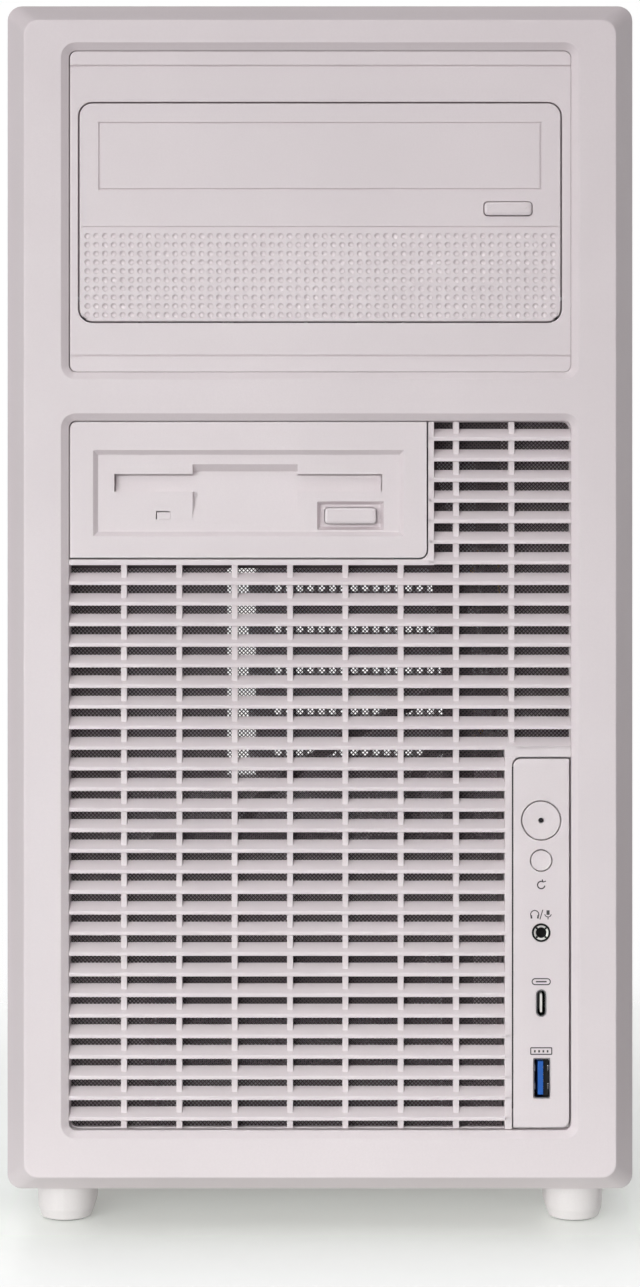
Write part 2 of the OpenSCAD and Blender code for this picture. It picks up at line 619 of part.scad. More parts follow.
module thumb_screw(x, z) {
    rod_y(1.75, x, [in_y[1] - 1, flap_y[1] + 1], z);
    rod_y(thumb_r, x, [flap_y[1], case_d / 2], z);
}
module left_thumb_screws() color(dark_c) for (z = thumb_z) thumb_screw(-thumb_x, z);
module right_thumb_screws() color(metal_c) for (z = thumb_z) thumb_screw(thumb_x, z);

module steel_side_panel() color(steel_c) difference() {
    union() {
        along_x([body_x[1] - 1.6, body_x[1] - 0.8]) rect([ch_y[0] + 0.4, ch_y[1] - 0.2], grow(in_z, -0.2));
        along_x([body_x[1] - panel_x, body_x[1] - 1.5])
            ring([ch_y[0] + 0.4, ch_y[1] - 0.2], grow(in_z, -0.2), 0.8);
        box([body_x[1] - panel_x, body_x[1] - panel_x + 0.8], [ch_y[1] - 2, flap_y[1]], grow(in_z, -20));
        box([thumb_x - 6, body_x[1] - panel_x + 0.8], flap_y, grow(in_z, -20));
    }
    for (z = thumb_z) rod_y(1.75, thumb_x, grow(flap_y, 1), z);
}

top_filter_x = around(0, 128);
top_filter_y = [-112, 150];
module top_filter() color(dark_c) {
    along_z([ch_z[1] + 0.05, ch_z[1] + 2.4]) ring(top_filter_x, top_filter_y, 5, 4);
    along_z([ch_z[1] + 0.8, ch_z[1] + 1.4]) rect(grow(top_filter_x, -4), grow(top_filter_y, -4));
}

module psu_filter() color(dark_c) {
    along_z(filter_z) ring(filter_x, [psu_y[0] + 2, ch_y[1] - 0.5], 5);
    along_z([filter_z[0] + 1, filter_z[0] + 1.6]) rect(grow(filter_x, -4), [psu_y[0] + 6, ch_y[1] - 5]);
    box(around(psu_fan[0], 30), [ch_y[1] - 1, ch_y[1] + 5], filter_z);
}

// ---- Feet ----
module foot_shape(d) for (x = [-1, 1], y = [foot_xy[1], rear_foot_y]) translate([x * foot_xy[0], y]) {
    square([foot_w - 2 * d, foot_l - foot_w], center = true);
    for (s = [-1, 1]) translate([0, s * (foot_l - foot_w) / 2]) circle(foot_w / 2 - d);
}
module feet() color("#efe8e9") {
    along_z([pad_h, 3]) foot_shape(0.9);
    along_z([3, ch_z[0]]) foot_shape(0);
}
module foot_pads() color("#8b8789") along_z([0, pad_h]) foot_shape(2.4);

// ---- Fasteners ----
fan_screw_yz = 52.5;
module rear_screws() color(metal_c) {
    for (i = [-1, 1], j = [-1, 1])
        rod_y(3, rear_fan_xz[0] + i * fan_screw_yz, [ch_y[1], ch_y[1] + 2],
            rear_fan_xz[1] + j * fan_screw_yz);
    for (p = [[5, 5], [145, 5], [5, 81], [116, 81]])
        rod_y(3, psu_x[0] + p[0], [ch_y[1], ch_y[1] + 2], psu_z[0] + p[1]);
}

function board_holes() = [for (y = [10, 88, 234], z = [10, 80, 234]) [board_y[1] - y, board_z[0] + z]];
module standoffs() color(brass_c) for (h = board_holes()) {
    translate([board_x[1], h[0], h[1]]) rotate([0, 90, 0])
        cylinder(r = 3, h = tray_x[0] - board_x[1], $fn = 6);
    rod_x(1.5, [board_x[0] - 0.5, board_x[1] + 1], h[0], h[1]);
    rod_x(3, [board_x[0] - 2.2, board_x[0]], h[0], h[1]);
}

// ---- Main board ----
dimm_z = [board_z[0] + 96, board_z[0] + 238];
dimm_y = [for (k = [0:3]) board_y[0] + 46 + k * 10];
module motherboard() color(board_c) along_x(board_x) difference() {
    rect(board_y, board_z);
    for (h = board_holes()) translate(h) circle(1.6);
}

function up(h) = [board_x[0] - h, board_x[0]];
module board_sockets() color(dark_c) {
    for (y = dimm_y) difference() {
        box(up(9), around(y, 7.4), dimm_z);
        box([board_x[0] - 10, board_x[0] - 2], around(y, 1.8), grow(dimm_z, -4));
    }
    for (i = [0, 2, 3]) box(up(11), [board_y[1] - (i == 3 ? 139 : 75), board_y[1] - 50],
        around(slot_z0 + (i + 1) * slot_pitch, 7.5));
    box(up(14), [board_y[0] + 3, board_y[0] + 13], around(socket_yz[1] - 15, 52));
    box(up(13), [board_y[1] - 30, board_y[1] - 20], [board_z[1] - 22, board_z[1] - 2]);
    box(up(9), [board_y[0] + 48, board_y[0] + 70], [board_z[0] + 6, board_z[0] + 14]);
    box(up(12), [board_y[0] + 4, board_y[0] + 24], [board_z[0] + 30, board_z[0] + 44]);
}

// Port blocks on the rear edge: [height up the board, width, stand-off, rows of flat sockets]
ports = [
    [100, 15, 16, 2], [122, 15, 8, 1], [144, 15, 16, 2], [166, 15, 16, 2], [188, 17, 14, 0], [210, 15, 16, 2]
];
port_y = [board_y[1] - 16, in_y[1] + 0.2];
lan_hole = [12, 8];
module rear_ports() color(metal_c) for (p = ports) {
    z = board_z[0] + p[0];
    difference() {
        box(up(p[2]), port_y, around(z, p[1]));
        if (p[3] == 0) box(around(board_x[0] - p[2] / 2, lan_hole[1]), grow([port_y[1] - 12, port_y[1]], 1),
            around(z, lan_hole[0]));
        else for (k = [0:p[3] - 1])
            box(around(board_x[0] - 4 - k * 8, 5), grow([port_y[1] - 9, port_y[1]], 1), around(z, 13));
    }
    if (p[3] > 0) for (k = [0:p[3] - 1])
        box(around(board_x[0] - 4 - k * 8, 1.8), [port_y[1] - 11, port_y[1] - 1], around(z, 11));
}

module io_shield() color(metal_c) along_y([in_y[1] + 0.3, in_y[1] + 0.8]) difference() {
    rect(grow(shield_x, -0.1), grow(shield_z, -0.1), 2);
    for (p = ports) rect(grow(up(p[2]), 0.3), grow(around(board_z[0] + p[0], p[1]), 0.3));
}

module memory_modules() color("#3a3c40") for (k = [1, 3])
    box([board_x[0] - 40, board_x[0] - 9], around(dimm_y[k], 7), grow(dimm_z, -4));

module board_heatsinks() color("#55575c") {
    for (k = [0:4])
        box([board_x[0] - 26, board_x[0] - 5], [board_y[1] - 38 + k * 4, board_y[1] - 36 + k * 4],
            [socket_yz[1] - 50, socket_yz[1] + 36]);
    box(up(6), [board_y[1] - 38, board_y[1] - 20], [socket_yz[1] - 50, socket_yz[1] + 36]);
    along_x(up(8)) rect([board_y[0] + 20, board_y[0] + 58], [board_z[0] + 52, board_z[0] + 88], 3);
}

// ---- Processor cooler ----
fin_x = [cooler_fan_x - 54, board_x[0] - 42];
fins = 44;
module cpu_heatsink() color(metal_c) {
    along_z(around(socket_yz[1], 118)) {
        for (k = [0:fins - 1]) translate([fin_x[0] + k * (fin_x[1] - fin_x[0]) / fins, 0])
            rect([0, 0.6], around(socket_yz[0], 48));
        rect(fin_x, around(socket_yz[0], 3));
    }
    for (s = [-1.5, -0.5, 0.5, 1.5])
        rod_x(3, [fin_x[1] - 4, board_x[0] - 11], socket_yz[0], socket_yz[1] + s * 12);
    box([board_x[0] - 12, board_x[0] - 4], around(socket_yz[0], 42), around(socket_yz[1], 46));
    box(up(4), around(socket_yz[0], 44), around(socket_yz[1], 50));
}

module place_cooler_fan() translate([cooler_fan_x, cooler_fan_y, socket_yz[1]])
    rotate([-90, 0, 0]) children();
module cooler_fan_frame() color(dark_c) place_cooler_fan() fan_frame(fan_size, fan_d);
module cooler_fan_rotor() color("#6a6668") place_cooler_fan()
    fan_rotor(fan_size / 2 - 2.5 - rotor_gap, fan_d, 9);

// ---- Rear fan ----
module place_rear_fan() translate([rear_fan_xz[0], in_y[1] - fan_d - 0.1, rear_fan_xz[1]])
    rotate([-90, 0, 0]) children();
module rear_fan_frame() color(dark_c) place_rear_fan() fan_frame(fan_size, fan_d);
module rear_fan_rotor() color("#6a6668") place_rear_fan()
    fan_rotor(fan_size / 2 - 2.5 - rotor_gap, fan_d, 7);

// ---- Power supply ----
module psu_case() color(dark_c) {
    difference() {
        box(psu_x, psu_y, psu_z);
        box(grow(psu_x, -sheet), grow(psu_y, -sheet), grow(psu_z, -sheet));
        rod_z(psu_fan_r + 1, psu_fan[0], psu_fan[1], [psu_z[0] - 1, psu_z[0] + 2]);
        along_y([psu_y[1] - 2, psu_y[1] + 1]) {
            rect(around(inlet_xz[0], 27.2), around(inlet_xz[1], 20.2));
            rect(around(rocker_xz[0], 13.2), around(rocker_xz[1], 19.2));
            for (i = [0:6], j = [0:6]) if (i > 3 || j < 4)
                translate([psu_x[0] + 16 + i * 19.5 + (j % 2) * 5, psu_z[0] + 11 + j * 10.6])
                    circle(4.6, $fn = 6);
        }
    }
    translate([psu_fan[0], psu_fan[1], psu_z[0] + 2]) {
        for (a = [45, 135]) rotate(a) box(around(0, 2 * psu_fan_r + 60), around(0, 6), [24, 26]);
        rod_z(hub_r, 0, 0, [23, 26]);
        rod_z(axle_r, 0, 0, [9, 24]);
    }
}
module psu_fan_rotor() color("#6a6668")
    translate([psu_fan[0], psu_fan[1], psu_z[0] + 2]) fan_rotor(psu_fan_r, fan_d, 7);
module psu_fan_guard() color(metal_c) translate([psu_fan[0], psu_fan[1], guard_z]) {
    for (r = [12:10:62]) rotate_extrude() translate([r, 0]) square(1.2, center = true);
    for (a = [0, 90]) rotate(a) box(around(0, 128), around(0, 1.4), [0.2, 0.8]);
}
module psu_inlet() color("#1d1c1e") {
    difference() {
        box(around(inlet_xz[0], 27), [psu_y[1] - 18, psu_y[1] + 2], around(inlet_xz[1], 20));
        box(around(inlet_xz[0], 24), [psu_y[1] - 14, psu_y[1] + 3], around(inlet_xz[1], 16.4));
    }
    for (p = [[-7, -2], [0, 2.5], [7, -2]])
        box(around(inlet_xz[0] + p[0], 2), [psu_y[1] - 15, psu_y[1] - 4], around(inlet_xz[1] + p[1], 4));
}
rocker_r = 12;
rocker_tilt = 6;
module psu_switch() color("#1d1c1e") translate([rocker_xz[0], psu_y[1] - 8, rocker_xz[1]])
    rotate([rocker_tilt, 0, 0]) intersection() {
        rod_x(rocker_r, around(0, 12), 0, 0);
        box(around(0, 12), [0, rocker_r], around(0, 16));
    }

// ---- Storage ----
module hard_drive() color(metal_c) {
    along_z(hdd_z) rect(hdd_x, [hdd_y[0] + 1, hdd_y[1] - 1], 2);
}
module solid_drive() color("#34363a") along_z([shroud_z, shroud_z + 7]) rect([-65, 5], [-150, -50], 3);

// ---- Cables ----
module power_cables() color(dark_c) {
    cable(main_route, 13);
    cable(cpu_route, 8);
    box([main_route[0][0], board_x[0] - 14], around(main_route[0][1], 13), around(main_route[0][2], 52));
    box([cpu_route[0][0], board_x[0] - 13], around(cpu_route[0][1], 11), around(cpu_route[0][2], 18));
}
module data_cables() color(dark_c) {
    cable(front_route, 6);
    cable(sata_route, 5);
}

front_bezel();
bay_surround();
bay_door();
door_button();
door_pins();
floppy_cover();
floppy_button();
floppy_light();
louvre_grille();
front_filter();
io_panel();
power_button();
power_light();
reset_button();
audio_jack();
usb_c_socket();
usb_a_socket();
usb_a_tongue();
front_io_board();
chassis_front();
chassis_top();
chassis_bottom();
chassis_rear();
board_tray();
psu_shroud();
bay_cage();
drive_cage();
slot_covers();
slot_screws();
io_shield();
side_glass();
glass_frame();
left_thumb_screws();
steel_side_panel();
right_thumb_screws();
top_filter();
psu_filter();
feet();
foot_pads();
rear_screws();
standoffs();
motherboard();
board_sockets();
rear_ports();
memory_modules();
board_heatsinks();
cpu_heatsink();
cooler_fan_frame();
cooler_fan_rotor();
rear_fan_frame();
rear_fan_rotor();
psu_case();
psu_fan_rotor();
psu_fan_guard();
psu_inlet();
psu_switch();
hard_drive();
solid_drive();
power_cables();
data_cables();
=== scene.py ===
"""Looks for the retro desktop tower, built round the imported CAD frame."""
import math
import random

import bmesh
import bpy
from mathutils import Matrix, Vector
from mathutils.geometry import tessellate_polygon

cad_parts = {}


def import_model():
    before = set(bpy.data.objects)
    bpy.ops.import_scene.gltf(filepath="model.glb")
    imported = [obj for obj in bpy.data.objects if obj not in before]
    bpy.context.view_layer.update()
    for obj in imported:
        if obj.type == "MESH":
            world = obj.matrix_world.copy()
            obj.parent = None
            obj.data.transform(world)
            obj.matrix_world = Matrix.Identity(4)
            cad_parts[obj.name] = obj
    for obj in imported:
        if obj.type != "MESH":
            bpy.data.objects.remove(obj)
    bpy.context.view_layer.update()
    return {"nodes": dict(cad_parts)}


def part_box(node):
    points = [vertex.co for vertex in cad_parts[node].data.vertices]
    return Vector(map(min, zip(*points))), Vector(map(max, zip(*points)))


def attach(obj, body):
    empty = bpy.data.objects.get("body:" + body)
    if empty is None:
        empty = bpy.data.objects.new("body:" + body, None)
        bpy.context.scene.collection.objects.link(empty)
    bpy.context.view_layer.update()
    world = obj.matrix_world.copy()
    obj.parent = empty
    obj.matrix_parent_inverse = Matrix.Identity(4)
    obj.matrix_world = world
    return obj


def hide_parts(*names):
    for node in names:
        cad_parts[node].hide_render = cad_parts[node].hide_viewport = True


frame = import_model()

random.seed(11)
MM = 0.001


def mm_box(node):
    """The (x, y, z) ranges of a CAD node in millimetres."""
    low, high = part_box(node)
    return [(low[i] * 1000, high[i] * 1000) for i in range(3)]


def grow(span, d):
    return (span[0] - d, span[1] + d)


def around(centre, width):
    return (centre - width / 2, centre + width / 2)


# ---------------------------------------------------------------- materials
def linear(r, g, b):
    """An sRGB colour of 0 to 255 as a linear one."""
    levels = [c / 255 for c in (r, g, b)]
    return (*[c / 12.92 if c <= 0.04045 else ((c + 0.055) / 1.055) ** 2.4 for c in levels], 1.0)


class Nodes:
    """A material's node tree, with short calls to add nodes and link them."""

    def __init__(self, name):
        self.material = bpy.data.materials.new(name)
        self.material.use_nodes = True
        self.tree = self.material.node_tree
        self.shader = next(n for n in self.tree.nodes if n.type == "BSDF_PRINCIPLED")
        self.coords = self.add("ShaderNodeTexCoord").outputs["Object"]

    def add(self, kind, inputs=None, **settings):
        node = self.tree.nodes.new(kind)
        for key, value in settings.items():
            setattr(node, key, value)
        for key, value in (inputs or {}).items():
            self.feed(node.inputs[key], value)
        return node

    def feed(self, socket, value):
        if isinstance(value, bpy.types.NodeSocket):
            self.tree.links.new(value, socket)
        else:
            socket.default_value = value

    def stretched(self, scale):
        return self.add("ShaderNodeMapping", {"Vector": self.coords, "Scale": scale}).outputs["Vector"]

    def noise(self, scale, detail=3.0, rough=0.55, vector=None):
        inputs = {"Vector": vector or self.coords, "Scale": scale, "Detail": detail, "Roughness": rough}
        return self.add("ShaderNodeTexNoise", inputs).outputs["Fac"]

    def spread(self, value, low, high, start=0.3, stop=0.7):
        inputs = {"Value": value, "From Min": start, "From Max": stop, "To Min": low, "To Max": high}
        return self.add("ShaderNodeMapRange", inputs).outputs["Result"]

    def blend(self, factor, a, b):
        return self.add("ShaderNodeMix", {0: factor, 6: a, 7: b}, data_type="RGBA").outputs[2]

    def math(self, operation, a, b=0.0):
        return self.add("ShaderNodeMath", {0: a, 1: b}, operation=operation).outputs[0]

    def bump(self, height, distance):
        inputs = {"Height": height, "Distance": distance, "Strength": 1.0}
        return self.add("ShaderNodeBump", inputs).outputs["Normal"]

    def use(self, **sockets):
        for key, value in sockets.items():
            self.feed(self.shader.inputs[key.replace("_", " ")], value)
        return self.material


def shade(colour, k):
    return (*[min(1.0, c * k) for c in colour[:3]], 1.0)


def moulded(name, colour, rough, grain=1500, depth=0.00002, vary=0.03):
    """Moulded plastic: fine spark-eroded grain, with faint cloudy flow and a little uneven gloss."""
    n = Nodes(name)
    fine = n.noise(grain, 2.0)
    cloud = n.noise(14, 3.0)
    tone = n.blend(n.spread(cloud, 0, 1), shade(colour, 1 - vary), shade(colour, 1 + vary))
    tone = n.blend(n.spread(fine, 0.0, 0.35), tone, shade(colour, 1 - 2 * vary))
    return n.use(Base_Color=tone, Roughness=n.spread(n.noise(60), rough - 0.04, rough + 0.05),
                 Normal=n.bump(fine, depth))


def coated(name, colour, rough=0.5):
    """Powder-coated sheet steel: orange peel over a fine speckle."""
    n = Nodes(name)
    peel = n.noise(700, 2.0, 0.5)
    speck = n.noise(3800, 1.0)
    tone = n.blend(n.spread(n.noise(9), 0, 1), shade(colour, 0.97), shade(colour, 1.02))
    tone = n.blend(n.spread(speck, 0.0, 0.5, 0.55, 0.75), tone, shade(colour, 0.88))
    return n.use(Base_Color=tone, Roughness=n.spread(peel, rough - 0.06, rough + 0.06),
                 Normal=n.bump(peel, 0.00003))


def plated(name, colour, rough, run=(1, 40, 40)):
    """Plated or brushed metal, with fine lines along one axis."""
    n = Nodes(name)
    lines = n.noise(90, 4.0, 0.65, n.stretched(run))
    tone = n.blend(n.spread(n.noise(45), 0, 1), shade(colour, 0.9), colour)
    return n.use(Base_Color=tone, Metallic=1.0, Roughness=n.spread(lines, rough - 0.08, rough + 0.1),
                 Normal=n.bump(lines, 0.000006))


def galvanised():
    """Zinc-plated sheet with a faint crystal pattern."""
    n = Nodes("zinc sheet")
    cell = n.add("ShaderNodeTexVoronoi", {"Vector": n.coords, "Scale": 330.0, "Randomness": 1.0})
    grey = n.add("ShaderNodeRGBToBW", {"Color": cell.outputs["Color"]}).outputs["Val"]
    tone = n.blend(grey, linear(176, 179, 184), linear(192, 195, 199))
    return n.use(Base_Color=tone, Metallic=0.85, Roughness=n.spread(grey, 0.34, 0.5, 0, 1),
                 Normal=n.bump(n.noise(900), 0.000008))


def circuit(name, colour, trace):
    """Circuit board: solder mask over a maze of copper traces, with small vias."""
    n = Nodes(name)
    turn = {"Vector": n.coords, "Rotation": (0, math.pi / 2, 0)}
    turned = n.add("ShaderNodeMapping", turn).outputs["Vector"]
    bricks = {"Vector": turned, "Scale": 260.0, "Mortar Size": 0.028, "Color1": (0, 0, 0, 1),
              "Color2": (0.25, 0.25, 0.25, 1), "Mortar": (1, 1, 1, 1)}
    lines = n.add("ShaderNodeTexBrick", bricks).outputs["Fac"]
    vias = n.add("ShaderNodeTexVoronoi", {"Vector": n.coords, "Scale": 330.0, "Randomness": 0.85})
    dots = n.spread(vias.outputs["Distance"], 1.0, 0.0, 0.12, 0.17)
    field = n.spread(n.noise(38, 2.0), 0.0, 1.0, 0.46, 0.54)
    tone = n.blend(n.math("MULTIPLY", lines, field), colour, trace)
    tone = n.blend(n.math("MULTIPLY", dots, 0.6), tone, shade(trace, 1.8))
    return n.use(Base_Color=tone, Roughness=n.spread(n.noise(420), 0.28, 0.42), Normal=n.bump(lines, 0.00002))


def smoked(name, colour, rough):
    """Tinted tempered glass, with a faint roller wave."""
    n = Nodes(name)
    wave = n.noise(7, 1.0, 0.4, n.stretched((1, 1, 4)))
    tint = n.blend(n.spread(n.noise(3), 0, 1), shade(colour, 0.96), colour)
    n.use(Base_Color=tint, Roughness=rough, Transmission_Weight=0.96, IOR=1.45)
    return n.use(Normal=n.bump(wave, 0.00002))


def braided(name, colour):
    """Braided sleeve: crossed diagonal ridges, with painted highlight on their crests and painted shade in
    the grooves between them.
    """
    n = Nodes(name)
    ridges = [n.add("ShaderNodeTexWave", {"Vector": n.stretched((1, lean, 1)), "Scale": 420},
                    bands_direction="DIAGONAL").outputs["Fac"] for lean in (1, -1)]
    weave = n.math("MULTIPLY", *ridges)
    # painted shade and highlight: the tone goes from dark in the grooves to light on the crests, following
    # the ridge height
    tone = n.blend(weave, shade(colour, 0.55), shade(colour, 1.25))
    return n.use(Base_Color=tone, Roughness=0.7, Normal=n.bump(weave, 0.0003))


SHELL = linear(223, 212.5, 216)
shell = moulded("shell plastic", SHELL, 0.42)
shell_steel = coated("shell steel", linear(219, 210, 213))
zinc = galvanised()
chrome = plated("chrome", linear(205, 205, 208), 0.16)
dark_plastic = moulded("black plastic", linear(34, 33, 36), 0.5, 900, 0.00004, 0.12)
dark_steel = coated("black steel", linear(38, 37, 40), 0.42)
weave = moulded("filter mesh", linear(84, 72, 76), 0.62, 2600, 0.00004, 0.08)
glass = smoked("tinted glass", linear(208, 208, 213), 0.015)
rubber = moulded("rubber", linear(150, 146, 148), 0.85, 700, 0.00008, 0.12)
foot_white = moulded("foot plastic", linear(220, 214, 215), 0.36)
board = circuit("circuit board", linear(30, 33, 38), linear(54, 58, 66))
alloy = plated("aluminium", linear(198, 200, 204), 0.32, (40, 1, 40))
brass = plated("brass", linear(196, 164, 92), 0.25)
blue = moulded("blue plastic", linear(26, 92, 178), 0.38, 1200, 0.00002, 0.05)
lens = moulded("light pipe", linear(40, 36, 40), 0.12, 400, 0.000005, 0.1)
fan_plastic = moulded("fan plastic", linear(62, 60, 64), 0.4, 800, 0.00003, 0.08)
sleeve = braided("cable sleeve", linear(44, 43, 46))
printing = moulded("printing", linear(66, 60, 63), 0.6, 3000, 0.00001, 0.06)
pale_tongue = moulded("pale tongue", linear(226, 222, 218), 0.4, 1600, 0.00001, 0.04)
socket_black = moulded("socket black", linear(13, 12, 13), 0.8, 1600, 0.00002, 0.1)
nickel = plated("nickel", linear(236, 233, 230), 0.45)
SLOTS = {
    "shell_plastic": shell, "shell_steel": shell_steel, "zinc_steel": zinc, "chrome": chrome,
    "black_plastic": dark_plastic, "black_steel": dark_steel, "filter_mesh": weave, "tinted_glass": glass,
    "rubber": rubber, "foot_plastic": foot_white, "circuit_board": board, "aluminium": alloy, "brass": brass,
    "blue_plastic": blue, "light_pipe": lens, "fan_plastic": fan_plastic, "cable_sleeve": sleeve,
}


# ---------------------------------------------------------------- shapes
def put(name, data):
    """A new object in the scene."""
    obj = bpy.data.objects.new(name, data)
    bpy.context.scene.collection.objects.link(obj)
    return obj


def outline(x, z, inset, r, y, n=7):
    """A rectangle with round corners at depth y, anticlockwise from the front; r is one radius, or one
    for each corner from the top right round to the bottom right."""
    x0, x1, z0, z1 = x[0] + inset, x[1] - inset, z[0] + inset, z[1] - inset
    radii = r if isinstance(r, (tuple, list)) else (r,) * 4
    points = []
    corners = ((x1, z1, -1, -1), (x0, z1, 1, -1), (x0, z0, 1, 1), (x1, z0, -1, 1))
    for k, ((cx, cz, sx, sz), radius) in enumerate(zip(corners, radii)):
        radius = max(radius, 0.02)
        middle_x, middle_z = cx + sx * radius, cz + sz * radius
        for i in range(n + 1):
            a = math.radians(90 * (k + i / n))
            points.append((middle_x + radius * math.cos(a), y, middle_z + radius * math.sin(a)))
    return points


def facing(axis, points, at):
    """Flat (a, b) points, set at a place on the axis that they face."""
    return [{"x": (at, a, b), "y": (a, at, b), "z": (a, b, at)}[axis] for a, b in points]


def stack(x, z, steps, r, n=7, axis="y", shrink=1.0, least=0.02):
    """Outlines that face an axis, one for each (inset, place on the axis) of the steps. The corner
    radius shrinks as the inset grows."""
    flat = [outline(x, z, i, max(r - i * shrink, least), 0, n) for i, _ in steps]
    return [facing(axis, [(a, b) for a, _, b in loop], at) for loop, (_, at) in zip(flat, steps)]


def rings(profile, centre, n, axis="y"):
    """A ring of n points round the centre for each (radius, place on the axis) of the profile."""
    turns = [2 * math.pi * i / n for i in range(n)]
    return [facing(axis, [(centre[0] + r * math.cos(a), centre[1] + r * math.sin(a)) for a in turns], at)
            for r, at in profile]


def soften(points, r, n=4, closed=False):
    """Rounds each corner of a list of points of any length with an arc of about radius r."""
    out = []
    count = len(points)
    for i, p in enumerate(points):
        if not closed and i in (0, count - 1):
            out.append(tuple(p))
            continue
        here, before, after = Vector(p), Vector(points[i - 1]), Vector(points[(i + 1) % count])
        u, v = (before - here), (after - here)
        half = u.angle(v) / 2
        cut = min(r / math.tan(half), 0.45 * u.length, 0.45 * v.length)
        a, b = here + u.normalized() * cut, here + v.normalized() * cut
        for k in range(n + 1):
            t = k / n
            out.append(tuple(a * (1 - t) ** 2 + here * 2 * t * (1 - t) + b * t * t))
    return out


class Shape:
    """Points in millimetres with the faces between them, made into a Blender object by build."""

    def __init__(self):
        self.points, self.faces, self.paint, self.colour = [], [], [], 0

    def add(self, points):
        start = len(self.points)
        self.points += [tuple(p) for p in points]
        return list(range(start, len(self.points)))

    def face(self, ids):
        self.faces.append(tuple(ids))
        self.paint.append(self.colour)

    def skin(self, loops, closed=True, around_too=False):
        """Quads between one loop and the next; around_too joins the last loop to the first."""
        rows = [self.add(loop) for loop in loops]
        pairs = list(zip(rows, rows[1:])) + ([(rows[-1], rows[0])] if around_too else [])
        for a, b in pairs:
            for i in range(len(a) if closed else len(a) - 1):
                j = (i + 1) % len(a)
                self.face((a[i], b[i], b[j], a[j]))

    def cap(self, loop, holes=()):
        """A flat face, with holes if any are given."""
        if not holes:
            self.face(self.add(loop))
            return
        loops = [[Vector(p) for p in one] for one in (loop, *holes)]
        ids = self.add([p for one in loops for p in one])
        for triangle in tessellate_polygon(loops):
            self.face([ids[k] for k in triangle])

    def solid(self, loops):
        """A closed tube of loops with flat ends."""
        self.skin(loops)
        self.cap(loops[0])
        self.cap(loops[-1])

    def slab(self, x, y, z, r=0.05, edge=0.25, n=3, corner=4):
        """A block with round corners seen from the front, and softened edges front and back."""
        steps = soften([(edge + r * 0.3, y[0]), (0, y[0]), (0, y[1]), (edge + r * 0.3, y[1])], edge, n)
        self.solid(stack(x, z, steps, r, corner))

    def along_x(self, profile, x):
        """An extrusion of a (y, z) profile, with flat ends."""
        self.solid([facing("x", profile, at) for at in x])

    def along_z(self, profile, z):
        """An extrusion of an (x, y) profile, with flat ends."""
        self.solid([facing("z", profile, at) for at in z])

    def build(self, name, materials, body="chassis", slot=None, stands_for=(), sharp=35):
        mesh = bpy.data.meshes.new(name)
        mesh.from_pydata([(x * MM, y * MM, z * MM) for x, y, z in self.points], [], self.faces)
        for m in materials if isinstance(materials, (list, tuple)) else [materials]:
            mesh.materials.append(m)
        mesh.polygons.foreach_set("material_index", self.paint)
        bm = bmesh.new()
        bm.from_mesh(mesh)
        bmesh.ops.remove_doubles(bm, verts=bm.verts, dist=4e-6)
        bmesh.ops.dissolve_degenerate(bm, edges=bm.edges, dist=2e-6)
        bmesh.ops.recalc_face_normals(bm, faces=bm.faces)
        bm.to_mesh(mesh)
        bm.free()
        mesh.polygons.foreach_set("use_smooth", [True] * len(mesh.polygons))
        mesh.set_sharp_from_angle(angle=math.radians(sharp))
        obj = put(name, mesh)
        even = obj.modifiers.new("Flat faces first", "WEIGHTED_NORMAL")
        even.keep_sharp = True
        even.weight = 50
        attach(obj, body)
        if stands_for:
            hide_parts(*stands_for)
        return obj


# ---------------------------------------------------------------- front panel
BODY_X, BODY_Y, BODY_Z = mm_box("front_bezel")
FRONT = BODY_Y[0]
# The two wells: depth, corner radius and width of their sloping rims
WELL_DEPTH, WELL_R, SLOPE = 2.2, 5.0, 2.6
FLOOR = FRONT + WELL_DEPTH
# The chamfer round the front: width, depth and corner radius
EDGE_W, EDGE_D, CORNER = 7.2, 14.7, 5.2
PLATE_X, _, PLATE_Z = mm_box("bay_surround")
GAP = 0.3
UPPER = [grow(PLATE_X, GAP + SLOPE), grow(PLATE_Z, GAP + SLOPE)]
GRILLE_X, _, GRILLE_Z = mm_box("louvre_grille")
FLANGE = 3.7
OPEN_X, OPEN_Z = grow(GRILLE_X, -FLANGE), grow(GRILLE_Z, -FLANGE)
LOWER = [grow(OPEN_X, SLOPE), grow(OPEN_Z, SLOPE)]


def front_bezel():
    s = Shape()
    back = BODY_Y[1]
    outer = soften([(EDGE_W + 1.5, FRONT), (EDGE_W, FRONT), (0, FRONT + EDGE_D), (0, back), (3, back)],
                   0.8, 5)
    s.skin(stack(BODY_X, BODY_Z, outer, CORNER, shrink=0))
    step, rim = FRONT + EDGE_D + 4, EDGE_W + 2.5
    inner = [(3, back), (3, step), (rim, step), (rim, FRONT + 5)]
    s.skin(stack(BODY_X, BODY_Z, inner, 3.4, shrink=0))
    fronts, backs = [], []
    for x, z in (UPPER, LOWER):
        steps = soften([(-1.0, FRONT), (0, FRONT), (SLOPE, FLOOR), (SLOPE, FRONT + 5)], 0.55, 5)
        loops = stack(x, z, steps, WELL_R, shrink=0.98)
        s.skin(loops)
        fronts.append(loops[0])
        backs.append(loops[-1])
    s.cap(outline(BODY_X, BODY_Z, outer[0][0], CORNER, FRONT), fronts)
    s.cap(outline(BODY_X, BODY_Z, rim, 3.4, FRONT + 5), backs)
    s.build("front_frame", shell, slot="shell_plastic", stands_for=["front_bezel"])


DOOR_X, DOOR_Y, DOOR_Z = mm_box("bay_door")
DOOR_GAP = 0.5


